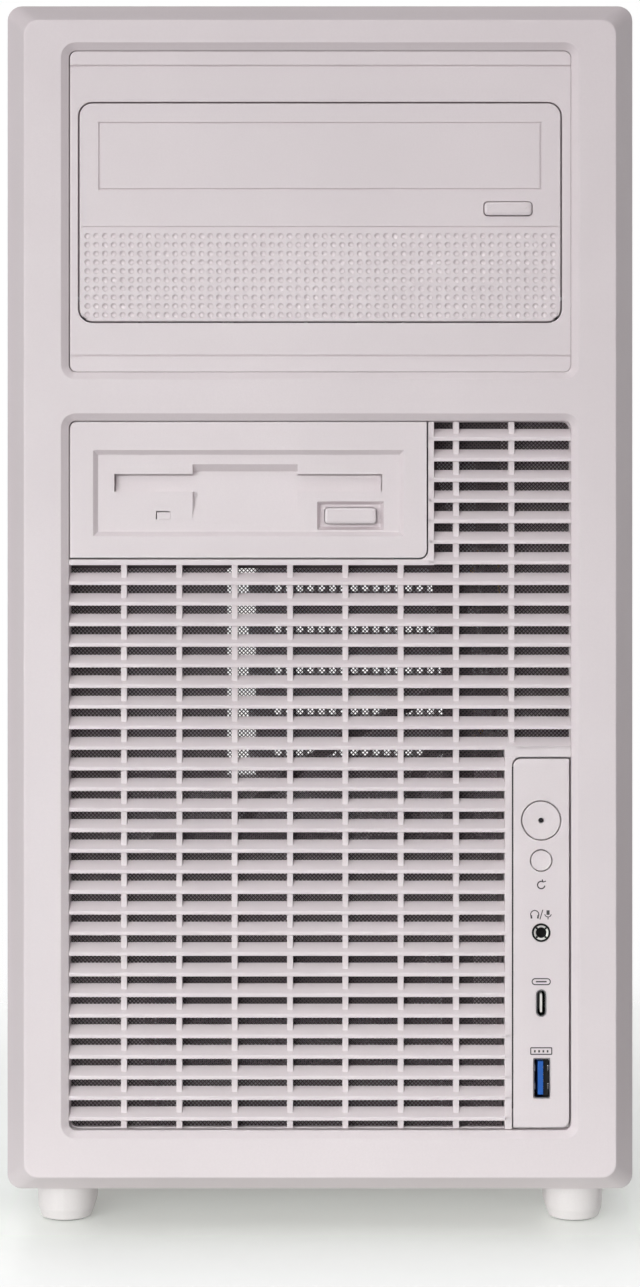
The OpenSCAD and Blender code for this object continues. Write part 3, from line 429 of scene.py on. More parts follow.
def bay_surround():
    s = Shape()
    r = WELL_R - SLOPE
    wide, tall = (PLATE_X[0] + 0.05, PLATE_X[1] + 0.2), (PLATE_Z[0] - 0.2, PLATE_Z[1] + 0.1)
    grooves = (PLATE_Z[0] + 5.3, PLATE_Z[1] - 5.1)
    half = 0.38
    thin = soften([(1, FLOOR), (0, FLOOR), (0, FLOOR + 0.8)], 0.14, 3)
    bands = ((tall[0], grooves[0] - half, (0.1, 0.1, r, r)), (grooves[1] + half, tall[1], (r, r, 0.1, 0.1)))
    for low, high, radii in bands:
        s.solid([outline(wide, (low, high), i, tuple(max(q - i, 0.02) for q in radii), y) for i, y in thin])
    middle = (grooves[0] + half, grooves[1] - half)
    opening_x, opening_z = grow(DOOR_X, DOOR_GAP), grow(DOOR_Z, DOOR_GAP)
    back = BODY_Y[1] - 1
    loops = stack(wide, middle, thin, 0.1, shrink=0)
    s.skin(loops)
    hole = soften([(-1.2, FLOOR), (0, FLOOR), (0, back), (-1, back)], 0.3, 4)
    inside = stack(opening_x, opening_z, hole, 5.0)
    s.skin(inside)
    s.cap(loops[0], [inside[0]])
    steps = ((-1, back), (-2.3, back), (-2.3, FLOOR + 3))
    outside = stack(opening_x, opening_z, steps, 3.0, shrink=0)
    s.cap(outside[0], [inside[-1]])
    s.skin(outside)
    rear = stack(wide, tall, ((0, FLOOR + 0.8), (0, FLOOR + 3)), r)
    s.skin(rear)
    s.cap(rear[1], [outside[-1]])
    s.cap(rear[0], [loops[-1]])
    s.build("bay_surround_plate", shell, slot="shell_plastic", stands_for=["bay_surround"])


def dimple(s, cx, cz, w, h, y):
    """One shallow round dimple in a w by h tile of the surface at depth y."""
    turns = [(math.cos(a), math.sin(a)) for a in (math.pi * (i + 0.5) / 6 for i in range(12))]
    tile = []
    for c, d in turns:
        k = 1 / max(abs(c) / (w / 2), abs(d) / (h / 2))
        tile.append((c * k, d * k))
    # The tile's corners replace the points nearest to them, so that tiles meet exactly
    for corner, i in (((1, 1), 1), ((-1, 1), 4), ((-1, -1), 7), ((1, -1), 10)):
        tile[i] = (corner[0] * w / 2, corner[1] * h / 2)
    rows = [[(cx + p, y, cz + q) for p, q in tile]]
    for r, depth in ((1.12, 0.0), (1.04, 0.07), (0.86, 0.36), (0.5, 0.55), (0.2, 0.6)):
        rows.append([(cx + r * c, y + depth, cz + r * d) for c, d in turns])
    s.skin(rows)
    s.cap(rows[-1])


BUTTON_X, BUTTON_Y, BUTTON_Z = mm_box("door_button")
BUTTON_X, BUTTON_Z = grow(BUTTON_X, -1.5), grow(BUTTON_Z, -1.5)


def bay_door():
    s = Shape()
    y, back = DOOR_Y
    edge = soften([(1.5, y), (0, y), (0, back), (1.5, back)], 0.4, 5)
    loops = stack(DOOR_X, DOOR_Z, edge[1:-1], 4.5)
    s.skin(loops)
    line_z = DOOR_Z[0] + 33.2
    tray_x, tray_z = around(0, 155.8), (DOOR_Z[0] + 46.2, DOOR_Z[0] + 70.1)
    groove = soften([(-0.15, y), (0, y + 0.02), (0, y + 0.65), (0.6, y + 0.65), (0.6, y + 0.02),
                     (0.75, y)], 0.12, 2)
    tray = stack(tray_x, tray_z, groove, 0.3, least=0.05)
    s.skin(tray)
    s.cap(tray[-1])
    holes = [tray[0]]
    lip = soften([(-0.5, y), (0, y), (0, back)], 0.2, 3)
    pocket = stack(grow(BUTTON_X, 0.3), grow(BUTTON_Z, 0.3), lip, 1.5)
    s.skin(pocket)
    holes.append(pocket[0])
    mark = [outline(grow(DOOR_X, -0.75), around(line_z, 0.55 + 2 * i), 0, 0.05, y + d)
            for i, d in ((0.12, 0), (0.03, 0.04), (0, 0.6))]
    s.skin(mark)
    s.cap(mark[-1])
    holes.append(mark[0])
    columns, rows, dx, dz = 54, 10, 3.09, 3.08
    x0, z1 = -81.8 - dx / 2, line_z - 3.2 + dz / 2
    for j in range(rows):
        for i in range(columns):
            dimple(s, x0 + dx * (i + 0.5), z1 - dz * (j + 0.5), dx, dz, y)
    side_x = [x0 + dx * i for i in range(columns + 1)]
    side_z = [z1 - dz * j for j in range(rows + 1)]
    loop = [(x, y, side_z[-1]) for x in side_x] + [(side_x[-1], y, z) for z in reversed(side_z[:-1])]
    loop += [(x, y, side_z[0]) for x in reversed(side_x[:-1])] + [(side_x[0], y, z) for z in side_z[1:-1]]
    holes.append(loop)
    s.cap(loops[0], holes)
    s.cap(loops[-1], [pocket[-1]])
    s.build("bay_door_leaf", shell, "bay_door", "shell_plastic", ["bay_door"])


front_bezel()
bay_surround()
bay_door()


COVER_X, COVER_Y, COVER_Z = mm_box("floppy_cover")
IO_X, IO_Y, IO_Z = mm_box("io_panel")
IO_C = (IO_X[0] + IO_X[1]) / 2
PITCH = 7.246  # from one louvre to the next


def pill(name, x, y, z, body):
    """A moulded push button with a crowned face and a flange behind."""
    s = Shape()
    steps = soften([(2.3, y[0]), (0.9, y[0] + 0.04), (0, y[0] + 0.35), (0, y[1] - 1.2)], 0.3, 4)
    steps += [(-1.5, y[1] - 1.2), (-1.5, y[1])]
    s.solid(stack(x, z, steps, 1.25, least=0.05))
    s.build(name, shell, body, "shell_plastic", [body])


def floppy_cover():
    s = Shape()
    y, back = COVER_Y
    corners = (0.3, 2.6, 0.3, 2.8)
    edge = soften([(1.0, y), (0, y), (0, back)], 0.3, 3)
    shell_loops = [outline(COVER_X, COVER_Z, i, tuple(max(c - i, 0.02) for c in corners), d) for i, d in edge]
    s.skin(shell_loops)
    s.cap(shell_loops[-1])
    recess_x, recess_z = (COVER_X[0] + 8.2, COVER_X[1] - 8), (COVER_Z[0] + 7.6, COVER_Z[1] - 9.95)
    deep = y + 1.8
    wall = soften([(-0.4, y), (0, y), (1.6, deep), (2.0, deep)], 0.2, 3)
    recess = stack(recess_x, recess_z, wall, 0.3, 2, shrink=0)
    s.skin(recess)
    s.cap(shell_loops[0], [recess[0]])
    x0, x1 = recess_x[0] + 7.3, recess_x[1] - 7.7
    z0, z1 = COVER_Z[0] + 23.4, COVER_Z[0] + 29.5
    n0, n1 = recess_x[0] + 34.9, recess_x[0] + 71.9
    ramp, head, lip = z0 - 10.4, z1 + 3.5, z1 + 1.0
    bottom = y + 4.5
    mouth = [(x0, z0), (n0, z0), (n0, ramp), (n1, ramp), (n1, z0), (x1, z0), (x1, z1), (n1, z1), (n1, head),
             (n0, head), (n0, z1), (x0, z1)]
    pocket_x = around(COVER_X[1] - 26.85, 18.1)
    pocket_z = around(COVER_Z[0] + 14.85, 5.5)
    lamp_x, lamp_z = around(COVER_X[0] + 32.75, 5.1), around(COVER_Z[0] + 15.05, 2.9)
    sink = soften([(-0.1, deep), (0, deep), (1.1, y + 4.2), (1.7, y + 4.2)], 0.12, 2)
    pocket = stack(grow(pocket_x, 2.7), grow(pocket_z, 2.3), sink, 0.3, 3, shrink=0)
    s.skin(pocket)
    collar = stack(grow(pocket_x, 0.3), grow(pocket_z, 0.3), ((0, y + 4.2), (0, back)), 1.5, 3)
    s.skin(collar)
    s.cap(pocket[-1], [collar[0]])
    lamp = stack(lamp_x, lamp_z, ((0, deep), (0, back)), 0.1, 2)
    s.skin(lamp)
    s.cap(recess[-1], [[(p, deep, q) for p, q in mouth], pocket[0], lamp[0]])

    def wall_of(*pts):
        s.face(s.add([(p, d, q) for p, d, q in pts]))

    for p, q, u, v in ((x0, z0, n0, z0), (n1, z0, x1, z0), (x0, z1, n0, z1), (n1, z1, x1, z1),
                       (x0, z0, x0, z1), (x1, z0, x1, z1)):
        wall_of((p, deep, q), (u, deep, v), (u, bottom, v), (p, bottom, q))
    wall_of((n0, deep, ramp), (n1, deep, ramp), (n1, bottom, z0), (n0, bottom, z0))
    wall_of((n0, deep, head), (n1, deep, head), (n1, bottom, lip), (n0, bottom, lip))
    for n in (n0, n1):
        wall_of((n, deep, ramp), (n, deep, z0), (n, bottom, z0))
        wall_of((n, deep, z1), (n, deep, head), (n, bottom, lip), (n, bottom, z1))
    gap, top = 0.45, z1 - 0.45
    wall_of(*[(p, bottom, q) for p, q in ((x0 + gap, z0), (n0, z0), (n1, z0), (x1 - gap, z0), (x1 - gap, top),
                                         (n1, top), (n1, lip), (n0, lip), (n0, top), (x0 + gap, top))])
    for end, side, notch in ((x0, x0 + gap, n0), (x1, x1 - gap, n1)):
        bend = ((end, z0), (side, z0), (side, top), (notch, top), (notch, z1), (end, z1))
        slit = [[(p, d, q) for p, q in bend] for d in (bottom, bottom + 1.2)]
        s.skin(slit)
        s.cap(slit[-1])
    s.build("floppy_front", shell, "chassis", "shell_plastic", ["floppy_cover"], 30)
    pill("floppy_eject_button", pocket_x, mm_box("floppy_button")[1], pocket_z, "floppy_button")
    s = Shape()
    s.slab((lamp_x[0] + 0.35, lamp_x[1] - 0.03), (deep + 0.1, back),
           (lamp_z[0] + 0.03, lamp_z[1] - 0.35), 0.2, 0.12)
    s.build("floppy_lamp", shell, "chassis", "light_pipe", ["floppy_light"])


def louvre_grille():
    s = Shape()
    top = OPEN_Z[1]
    rows = int((top - OPEN_Z[0]) / PITCH)
    cover_rows = 7
    left, right = OPEN_X[0] + 0.04, OPEN_X[1] - 0.04
    strip, io_strip = COVER_X[1] + 0.5, IO_X[0] - 0.5
    io_rows = int((top - IO_Z[1] - 0.5) / PITCH)

    def row(k):
        return top - k * PITCH

    for k in range(1, rows + 1):
        x = (strip if k <= cover_rows else left, io_strip if k > io_rows else right)
        y, z = FLOOR, row(k)
        slat = [(y, z), (y, z + 1.55), (y + 4, z + 4.75), (y + 4, z + 3.2)]
        s.along_x(soften(slat, 0.28, 3, True), x)
    depth = (FLOOR + 1.5, FLOOR + 6)
    for i in range(int((right - left - 20) / 19.5)):
        x = around(left + 19.2 + i * 19.5, 2.1)
        high = row(cover_rows) if x[0] < strip else top - GAP
        low = IO_Z[1] + 2 if x[1] > io_strip else OPEN_Z[0] + GAP
        s.slab(x, depth, (low, high), 0.1, 0.3)
    depth = (FLOOR, FLOOR + 6)
    s.slab((left, strip + 0.2), depth, (row(cover_rows), row(cover_rows) + 2), 0.1, 0.3)
    s.slab((strip, strip + 2), depth, (row(cover_rows), top - GAP), 0.1, 0.3)
    # The strips meet in a rounded inner corner that follows the floppy cover's
    bend, low = 3.2, row(cover_rows) + 2
    web = [(strip + 0.1, low - 0.1), (strip + 0.1, low + bend)]
    web += arc(strip - bend, low + bend, bend, 0, -90, 8) + [(strip - bend, low - 0.1)]
    s.solid([facing("y", web, d) for d in (FLOOR + 0.05, FLOOR + 6)])
    s.slab((io_strip - 2.5, io_strip), depth, (OPEN_Z[0] + GAP, IO_Z[1] + 0.6), 0.1, 0.3)
    s.slab((io_strip - 2.5, right), depth, (IO_Z[1] + 0.6, row(io_rows) + 1.55), 0.1, 0.3)
    a, b = io_strip - 0.1, IO_Z[1] + 0.7
    web = [(a, b), (a, b - 3.2)] + arc(a + 3.0, b - 3.0, 2.9, 180, 90, 8) + [(a + 3.2, b)]
    s.solid([facing("y", web, d) for d in (FLOOR + 0.05, FLOOR + 6)])
    y = (FLOOR + 4, FLOOR + 6)
    outer = [outline(OPEN_X, OPEN_Z, -FLANGE, 0.5, d, 2) for d in y]
    inner = [outline(OPEN_X, OPEN_Z, 0.35, WELL_R - SLOPE, d, 4) for d in y]
    s.skin(outer)
    s.skin(inner)
    for a, b in zip(outer, inner):
        s.cap(a, [b])
    s.build("front_louvres", shell, "chassis", "shell_plastic", ["louvre_grille"], 30)


def front_filter():
    """A fine diagonal mesh behind the louvres, in the outline of its CAD sheet."""
    s = Shape()
    x, y, z = mm_box("front_filter")
    step, wide = 0.98, 0.37
    areas = [((x[0], COVER_X[1] + 3), (z[0], COVER_Z[0] - 3)), ((COVER_X[1] + 3, IO_X[0] - 4.5), z),
             ((IO_X[0] - 4.5, x[1]), (IO_Z[1] + 4, z[1]))]
    h = wide / 2 * math.sqrt(0.5)
    for span, rise in areas:
        for lean, layer, c, stop in ((1, (y[0], y[0] + 0.35), rise[0] - span[1], rise[1] - span[0]),
                                     (-1, (y[0] + 0.4, y[1]), rise[0] + span[0], rise[1] + span[1])):
            c = math.ceil(c / step / math.sqrt(2)) * step * math.sqrt(2)
            while c < stop:
                # z = lean * x + c, cut to the area
                ends = sorted([(rise[0] - c) * lean, (rise[1] - c) * lean])
                a, b = max(ends[0], span[0]), min(ends[1], span[1])
                if b - a > 0.5:
                    p, q = (a, lean * a + c), (b, lean * b + c)
                    ox, oz = -lean * h, h
                    loop = [(p[0] + ox, p[1] + oz), (q[0] + ox, q[1] + oz), (q[0] - ox, q[1] - oz),
                            (p[0] - ox, p[1] - oz)]
                    s.solid([facing("y", loop, d) for d in layer])
                c += step * math.sqrt(2)
    (_, low), (middle, _), (_, high) = areas
    uprights = ((x[0], low), (x[1], high), (middle[0], (low[1], z[1])), (middle[1], (z[0], high[0])))
    for edge_x, rise in uprights:
        s.slab(around(edge_x, 1.6), y, rise, 0.1, 0.1, 1, 1)
    for span, rise in areas:
        for edge_z in rise:
            s.slab(span, y, around(edge_z, 1.6), 0.1, 0.1, 1, 1)
    s.build("front_mesh", weave, "chassis", "filter_mesh", ["front_filter"])


POWER_Z, RESET_Z, JACK_Z = IO_Z[0] + 107.9, IO_Z[0] + 93.8, IO_Z[0] + 68.4
TYPE_C_Z, TYPE_A_Z = IO_Z[0] + 43.6, IO_Z[0] + 17.2
POWER_R, RESET_R = 6.65, 3.57


def io_panel():
    s = Shape()
    y, back = IO_Y
    corners = (0.4, 2.6, 0.4, 2.6)
    edge = soften([(0.9, y), (0, y), (0, back)], 0.2, 3)
    loops = [outline(IO_X, IO_Z, i, tuple(max(c - i, 0.02) for c in corners), d) for i, d in edge]
    s.skin(loops)
    holes = []
    lip = soften([(0.35, y), (0, y), (0, back)], 0.14, 3)
    for z, r in ((POWER_Z, POWER_R + 0.43), (RESET_Z, RESET_R + 0.38), (JACK_Z, 3.3)):
        holes.append(rings([(r + i, d) for i, d in lip], (IO_C, z), 44))
    for x, w, z, h, r in ((IO_C, 3.8, TYPE_C_Z, 9.8, 1.89), (IO_C + 0.2, 6.1, TYPE_A_Z, 14.3, 0.6)):
        holes.append([outline(around(x, w + 2 * i), around(z, h + 2 * i), 0, r + i, d) for i, d in lip])
    for hole in holes:
        s.skin(hole)
    s.cap(loops[0], [hole[0] for hole in holes])
    s.cap(loops[-1], [hole[-1] for hole in holes])
    s.build("connector_panel", shell, "chassis", "shell_plastic", ["io_panel"])


def round_button(name, r, z, body, light):
    """A dished round button, with a hole for its light pipe if it has one."""
    s = Shape()
    y = FLOOR
    dish = [(light, y + 0.25)] + [(r * k, y + 0.25 * (1 - k * k)) for k in (0.3, 0.5, 0.7, 0.86)]
    rim = soften([(r * 0.9, y + 0.04), (r, y - 0.02), (r, y + 3.5)], 0.22, 4)
    flange = [(r, y + 2.9), (r + 1.2, y + 2.9), (r + 1.2, y + 4.5), (1.6, y + 4.5),
              (1.6, y + 9), (light, y + 9)]
    rows = rings([(max(q, 0.001), at) for q, at in dish + rim + flange], (IO_C, z), 56)
    s.skin(rows, around_too=light > 0)
    if not light:
        s.cap(rows[0])
        s.cap(rows[-1])
    s.build(name, shell, body, "shell_plastic", [body])


def sockets():
    s = Shape()
    y, jack, back = FLOOR, (IO_C, JACK_Z), mm_box("audio_jack")[1][1]
    s.colour = 1
    collar = soften([(2.55, y + 0.8), (2.6, y - 0.2), (3.2, y - 0.2), (3.25, y + 3), (2.5, y + 3)], 0.2, 4)
    s.skin(rings(collar, jack, 40), around_too=True)
    s.colour = 0
    contact = soften([(1.8, y + 0.9), (1.9, y + 0.15), (2.6, y + 0.1), (2.65, y + 0.8), (2.5, y + 2)], 0.1, 4)
    s.skin(rings(contact, jack, 40), around_too=True)
    s.colour = 1
    barrel = soften([(2.4, y + 0.3), (1.78, y + 0.7), (1.78, back - 1)], 0.2, 3)
    barrel += [(1.78, back - 0.5), (2.42, back - 0.5), (2.42, y + 0.3)]
    s.skin(rings(barrel, jack, 40), around_too=True)
    s.slab(around(IO_C, 6.4), (y + 3, back), around(JACK_Z, 11), 0.4, 0.2)
    s.cap(rings([(1.8, back - 1.2)], jack, 40)[0])
    for a in (45, 135, 225, 315):
        c, d = 2.2 * math.cos(math.radians(a)), 2.2 * math.sin(math.radians(a))
        s.slab(around(IO_C + c, 0.75), (y + 0.02, y + 2), around(JACK_Z + d, 0.75), 0.3, 0.1, 2, 3)
    s.build("headset_socket", [nickel, socket_black], "chassis", "chrome", ["audio_jack"])

    s = Shape()
    depth = mm_box("usb_c_socket")[1][1]
    tube = ((0.12, y - 0.02), (0, y + 0.1), (0, depth), (0.4, depth - 1.5), (0.4, y + 0.1), (0.28, y - 0.02))
    s.skin(stack(around(IO_C, 3.6), around(TYPE_C_Z, 9.6), tube, 1.79), around_too=True)
    s.colour = 1
    s.cap(outline(around(IO_C, 2.8), around(TYPE_C_Z, 8.8), 0, 1.39, depth - 2))
    s.colour = 2
    s.slab(around(IO_C, 0.8), (y + 1.0, depth - 1.5), around(TYPE_C_Z, 6.7), 0.3, 0.12)
    s.build("type_c_socket", [chrome, socket_black, pale_tongue], "chassis", "chrome", ["usb_c_socket"])

    s = Shape()
    centre = IO_C + 0.2
    tube = ((0.1, 0.7, y - 0.02), (0, 0.7, y + 0.1), (0, 0.7, depth), (0.35, 0.5, depth),
            (0.35, 0.5, y + 0.1), (0.25, 0.5, y - 0.02))
    x, z = around(centre, 5.9), around(TYPE_A_Z, 14.1)
    s.skin([outline(x, z, i, r, d, 3) for i, r, d in tube], around_too=True)
    for dx, dz in ((2.3, 3.2), (2.3, -3.2), (-2.3, 3.2), (-2.3, -3.2)):
        s.slab(around(centre + dx, 0.35), (y + 2.4, y + 6.5), around(TYPE_A_Z + dz, 2.2), 0.2, 0.12)
    s.colour = 1
    s.cap(outline(around(centre, 5.2), around(TYPE_A_Z, 13.4), 0, 0.5, depth - 0.4, 3))
    s.build("type_a_socket", [chrome, socket_black], "chassis", "chrome", ["usb_a_socket"])

    s = Shape()
    x = around(IO_C - 0.2, 1.9)
    s.slab(x, (y + 0.9, depth - 1.2), around(TYPE_A_Z, 11.8), 0.15, 0.2)
    s.colour = 2
    s.slab((centre - 2.5, centre + 2.5), (depth - 2, depth - 0.6), around(TYPE_A_Z, 13.2), 0.3, 0.1)
    s.slab((x[1], centre + 2.45), (y + 2.5, depth - 1.8), around(TYPE_A_Z, 13.1), 0.3, 0.1)
    s.colour = 1
    for z in (-3.6, -1.2, 1.2, 3.6):
        s.slab((x[1], x[1] + 0.12), (y + 1.6, depth - 2.2), around(TYPE_A_Z + z, 1.1), 0.03, 0.05, 1, 1)
    s.build("type_a_tongue", [blue, brass, socket_black], "chassis", "blue_plastic", ["usb_a_tongue"])


def ribbon(s, points, width, closed=False):
    """A printed line on the connector panel, through (x, z) points, mitred at its corners."""
    y = IO_Y[0]
    count = len(points)
    loops = []
    for i, p in enumerate(points):
        here, d = Vector(p), Vector((0, 0))
        if i or closed:
            d += (here - Vector(points[i - 1])).normalized()
        if i < count - 1 or closed:
            d += (Vector(points[(i + 1) % count]) - here).normalized()
        d.normalize()
        side = Vector((-d.y, d.x)) * width / 2
        a, b = here + side, here - side
        loops.append([(a.x, y - 0.03, a.y), (b.x, y - 0.03, b.y), (b.x, y + 0.02, b.y), (a.x, y + 0.02, a.y)])
    if closed:
        s.skin(loops, around_too=True)
    else:
        s.solid(loops)


def arc(cx, cz, r, start, stop, n=12):
    return [(cx + r * math.cos(math.radians(start + (stop - start) * i / n)),
             cz + r * math.sin(math.radians(start + (stop - start) * i / n))) for i in range(n + 1)]


def pictograms():
    """Plain printed signs: restart, headphones and microphone, and the outlines of the two sockets."""
    s = Shape()
    z = RESET_Z - 8.6
    ribbon(s, arc(IO_C, z, 1.3, 60, 350), 0.46)
    ribbon(s, [(IO_C + 0.3, z + 1.95), (IO_C + 0.7, z + 1.05), (IO_C + 1.65, z + 1.35)], 0.42)
    z = JACK_Z + 6.4
    x = IO_C - 2.3
    ribbon(s, arc(x, z, 1.45, -20, 200), 0.36)
    for k in (-1, 1):
        ribbon(s, [(x + k * 1.25, z - 0.2), (x + k * 1.1, z - 1.4)], 0.6)
    ribbon(s, [(IO_C - 0.45, z - 1.7), (IO_C + 0.55, z + 1.7)], 0.34)
    x = IO_C + 2.4
    ribbon(s, [(x, z - 0.1), (x, z + 1.5)], 1.1)
    ribbon(s, arc(x, z + 0.3, 1.15, 190, 350, 8), 0.32)
    ribbon(s, [(x, z - 0.75), (x, z - 1.7)], 0.34)
    for z, w, h, r, n in ((TYPE_C_Z + 7.6, 6.4, 2.1, 1.04, 5), (TYPE_A_Z + 9.6, 7.4, 2.3, 0.2, 2)):
        frame_line = [(p, q) for p, _, q in outline(around(IO_C, w), around(z, h), 0, r, 0, n)]
        ribbon(s, frame_line, 0.4, closed=True)
    for x in (-2.25, -0.75, 0.75, 2.25):
        ribbon(s, [(IO_C + x, z - 0.5), (IO_C + x, z + 0.35)], 0.6)
    z = TYPE_C_Z + 7.6
    ribbon(s, [(IO_C - 1.9, z), (IO_C + 1.9, z)], 0.5)
    s.build("socket_signs", printing, "chassis", "black_plastic")


def feet():
    """Four feet with long round ends, a little narrower towards the floor."""
    x, y, z = mm_box("feet")
    w, l = 20.4, 34.0
    s, pads = Shape(), Shape()
    profile = soften([(-0.5, z[1]), (0.0, 4.0), (1.2, 0.5), (2.9, 0.4)], 2.0, 5)
    for sx in (-1, 1):
        for cy in (y[0] + l / 2, y[1] - l / 2):
            cx = sx * (x[1] - w / 2)
            for target, steps in ((s, profile), (pads, [(2.5, 1.0), (2.5, 0.2), (2.8, 0.0)])):
                target.solid(stack(around(cx, w), around(cy, l), steps, w / 2 - 0.01, 12, "z"))
    s.build("feet_plastic", foot_white, "chassis", "foot_plastic", ["feet"])
    pads.build("feet_pads", rubber, "chassis", "rubber", ["foot_pads"])


# ---------------------------------------------------------------- sides, back and inside
def thumb_screws(name, node, material, body, slot):
    """Knurled heads with a cross slot, on plain shafts."""
    s = Shape()
    x, y, z = mm_box(node)
    r, knurl, top = 5.8, 0.32, y[1]
    cx = (x[0] + x[1]) / 2
    head = top - 7.4
    profile = [(1.75, y[0]), (1.75, head + 0.4), (3.6, head + 0.4), (4.2, head), (r - 0.4, head),
               (r, head + 0.5), (r, top - 2.1), (r - 0.5, top - 1.6), (r - 0.7, top - 0.5),
               (r - 1.3, top), (3.4, top), (3.2, top - 0.25)]
    for cz in (z[0] + r, z[1] - r):
        rows = rings(profile, (cx, cz), 72)
        inward = rings([(q - knurl, at) for q, at in profile], (cx, cz), 72)
        for row, sunk in list(zip(rows, inward))[5:7]:
            row[1::2] = sunk[1::2]
        s.solid(rows)
        for w, h in ((5.4, 1.0), (1.0, 5.4)):
            s.slab(around(cx, w), (top - 0.9, top - 0.02), around(cz, h), 0.1, 0.15)
    s.build(name, material, body, slot, [node], 25)


def pan_screws():
    """Pan heads on thin washers, at the rear fan and the power supply, with a near-black cross as painted
    shade where the cross recess would be.
    """
    s = Shape()
    _, (y0, y1), _ = mm_box("rear_screws")
    fan, psu = mm_box("rear_fan_frame"), mm_box("psu_case")
    cx, cz = sum(fan[0]) / 2, sum(fan[2]) / 2
    spots = [(cx + i * 52.5, cz + j * 52.5) for i in (-1, 1) for j in (-1, 1)]
    spots += [(psu[0][0] + i, psu[2][0] + j) for i, j in ((5, 5), (145, 5), (5, 81), (116, 81))]
    for k, spot in enumerate(spots):
        s.colour = 0
        dome = [(3.4, y0), (3.4, y0 + 0.35), (3.0, y0 + 0.4), (2.9, y0 + 1.1), (2.5, y0 + 1.6),
                (1.7, y1 - 0.1), (0.8, y1)]
        s.solid(rings(dome, spot, 32))
        # painted shade: the cross recess is a near-black cross laid on the dome, not a cut into it
        s.colour = 1
        turn = 0.3 + 0.7 * k
        for a in (turn, turn + math.pi / 2):
            c, d = math.cos(a), math.sin(a)
            cross = [(spot[0] + u * c - v * d, spot[1] + u * d + v * c)
                     for u, v in ((-1.6, -0.3), (1.6, -0.3), (1.6, 0.3), (-1.6, 0.3))]
            s.solid([facing("y", cross, at) for at in (y1 - 0.6, y1 + 0.02)])
    s.build("pan_head_screws", [zinc, socket_black], "chassis", "zinc_steel", ["rear_screws"])


def filter_sheet(name, node, body, frame_w, bars, tab=None):
    """A mesh of crossed strands in a soft-edged frame, lying flat."""
    s = Shape()
    x, y, z = mm_box(node)
    if tab:
        y = (y[0], tab)
    edge = soften([(1.2, z[0]), (0, z[0]), (0, z[1]), (1.2, z[1])], 0.5, 3)
    rim = stack(x, y, edge, 4, 6, "z", 0.8)
    hole = soften([(-1.0, z[1]), (0, z[1]), (0, z[0]), (-1.0, z[0])], 0.4, 3)
    rim += stack(grow(x, -frame_w), grow(y, -frame_w), hole, 2, 6, "z")
    s.skin(rim, around_too=True)
    inside_x, inside_y = grow(x, 0.5 - frame_w), grow(y, 0.5 - frame_w)
    middle = (z[0] + z[1]) / 2
    for k in range(1, bars):
        at = inside_y[0] + (inside_y[1] - inside_y[0]) * k / bars
        low, top = middle - 0.7, z[1] - 0.3
        s.along_x([(at - 1.2, low), (at + 1.2, low), (at + 0.9, top), (at - 0.9, top)], inside_x)
    s.colour = 1
    step, w = 1.5, 0.62
    count = int((inside_x[1] - inside_x[0]) / step)
    for k in range(count + 1):
        at = inside_x[0] + step * k
        s.solid([[(at, q, middle - 0.3), (at + w, q, middle - 0.3), (at + w, q, middle), (at, q, middle)]
                 for q in inside_y])
    count = int((inside_y[1] - inside_y[0]) / step)
    for k in range(count + 1):
        at = inside_y[0] + step * k
        low, top = middle - 0.12, middle + 0.2
        s.along_x([(at, low), (at + w, low), (at + w, top), (at, top)], inside_x)
    if tab:
        s.colour = 0
        cx = (x[0] + x[1]) / 2
        end = mm_box(node)[1][1]
        lip = [(tab - 1, z[0]), (end, z[0]), (end, z[1]), (tab - 1, z[1])]
        s.along_x(soften(lip, 0.5, 3, True), around(cx, 30))
    s.build(name, [dark_plastic, weave], body, "black_plastic", [node])


def blades(s, r, hub, count, chord, pitch, place, span):
    """Curved fan blades; place turns (radius, angle, height along the axis) into a point."""
    low, high = span
    steps, wide = 7, 8
    for b in range(count):
        start = 2 * math.pi * b / count
        faces = ([], [])
        for i in range(steps):
            t = i / (steps - 1)
            rad = hub - 0.6 + (r - hub + 0.6) * t
            tilt = math.radians(pitch + 12 * (1 - t))
            half = chord / 2 * (0.78 + 0.3 * t)
            sweep = 0.2 * t * t
            for side, face in ((1, faces[0]), (-1, faces[1])):
                line = []
                for j in range(wide):
                    u = 2 * j / (wide - 1) - 1
                    thick = 0.85 * math.sqrt(max(0.0, 1 - u * u)) * (1.15 - 0.35 * t)
                    camber = 1.7 * (1 - u * u)
                    along = u * half * math.cos(tilt) - (camber + side * thick) * math.sin(tilt)
                    height = -u * half * math.sin(tilt) - (camber + side * thick) * math.cos(tilt) + 0.8
                    height = (low + high) / 2 + height
                    line.append(place(rad, start + along / max(rad, 26) + sweep, min(max(height, low), high)))
                face.append(line)
        s.skin([a + b2[::-1] for a, b2 in zip(*faces)])
        for end in (0, -1):
            a, b2 = faces[0][end], faces[1][end]
            for j in range(wide - 1):
                s.face(s.add([a[j], a[j + 1], b2[j + 1], b2[j]]))


def fan_rotor(name, node, body, count, axis, centre, r):
    """A hub with a sunk ring and label-free cap, and curved blades, about a y or z axis."""
    s = Shape()
    span = mm_box(node)["xyz".index(axis)]
    low, high = span[0] + 0.2, span[1] - 0.3

    def place(rad, a, h):
        return facing(axis, [(centre[0] + rad * math.cos(a), centre[1] + rad * math.sin(a))], h)[0]

    hub = [(2.2, low + 0.6), (6.0, low + 0.6), (6.5, low + 0.35), (14.5, low + 0.35), (15.0, low),
           (18.6, low), (20.0, low + 1.4), (20.0, high - 0.3), (19.2, high), (4.2, high),
           (4.2, high - 0.8), (2.1, high - 0.8), (2.1, high - 8)]
    s.solid(rings(hub, centre, 48, axis))
    blades(s, r, 20, count, 27, 34, place, (low + 0.3, high - 0.2))
    s.build(name, fan_plastic, body, "fan_plastic", [node], 40)


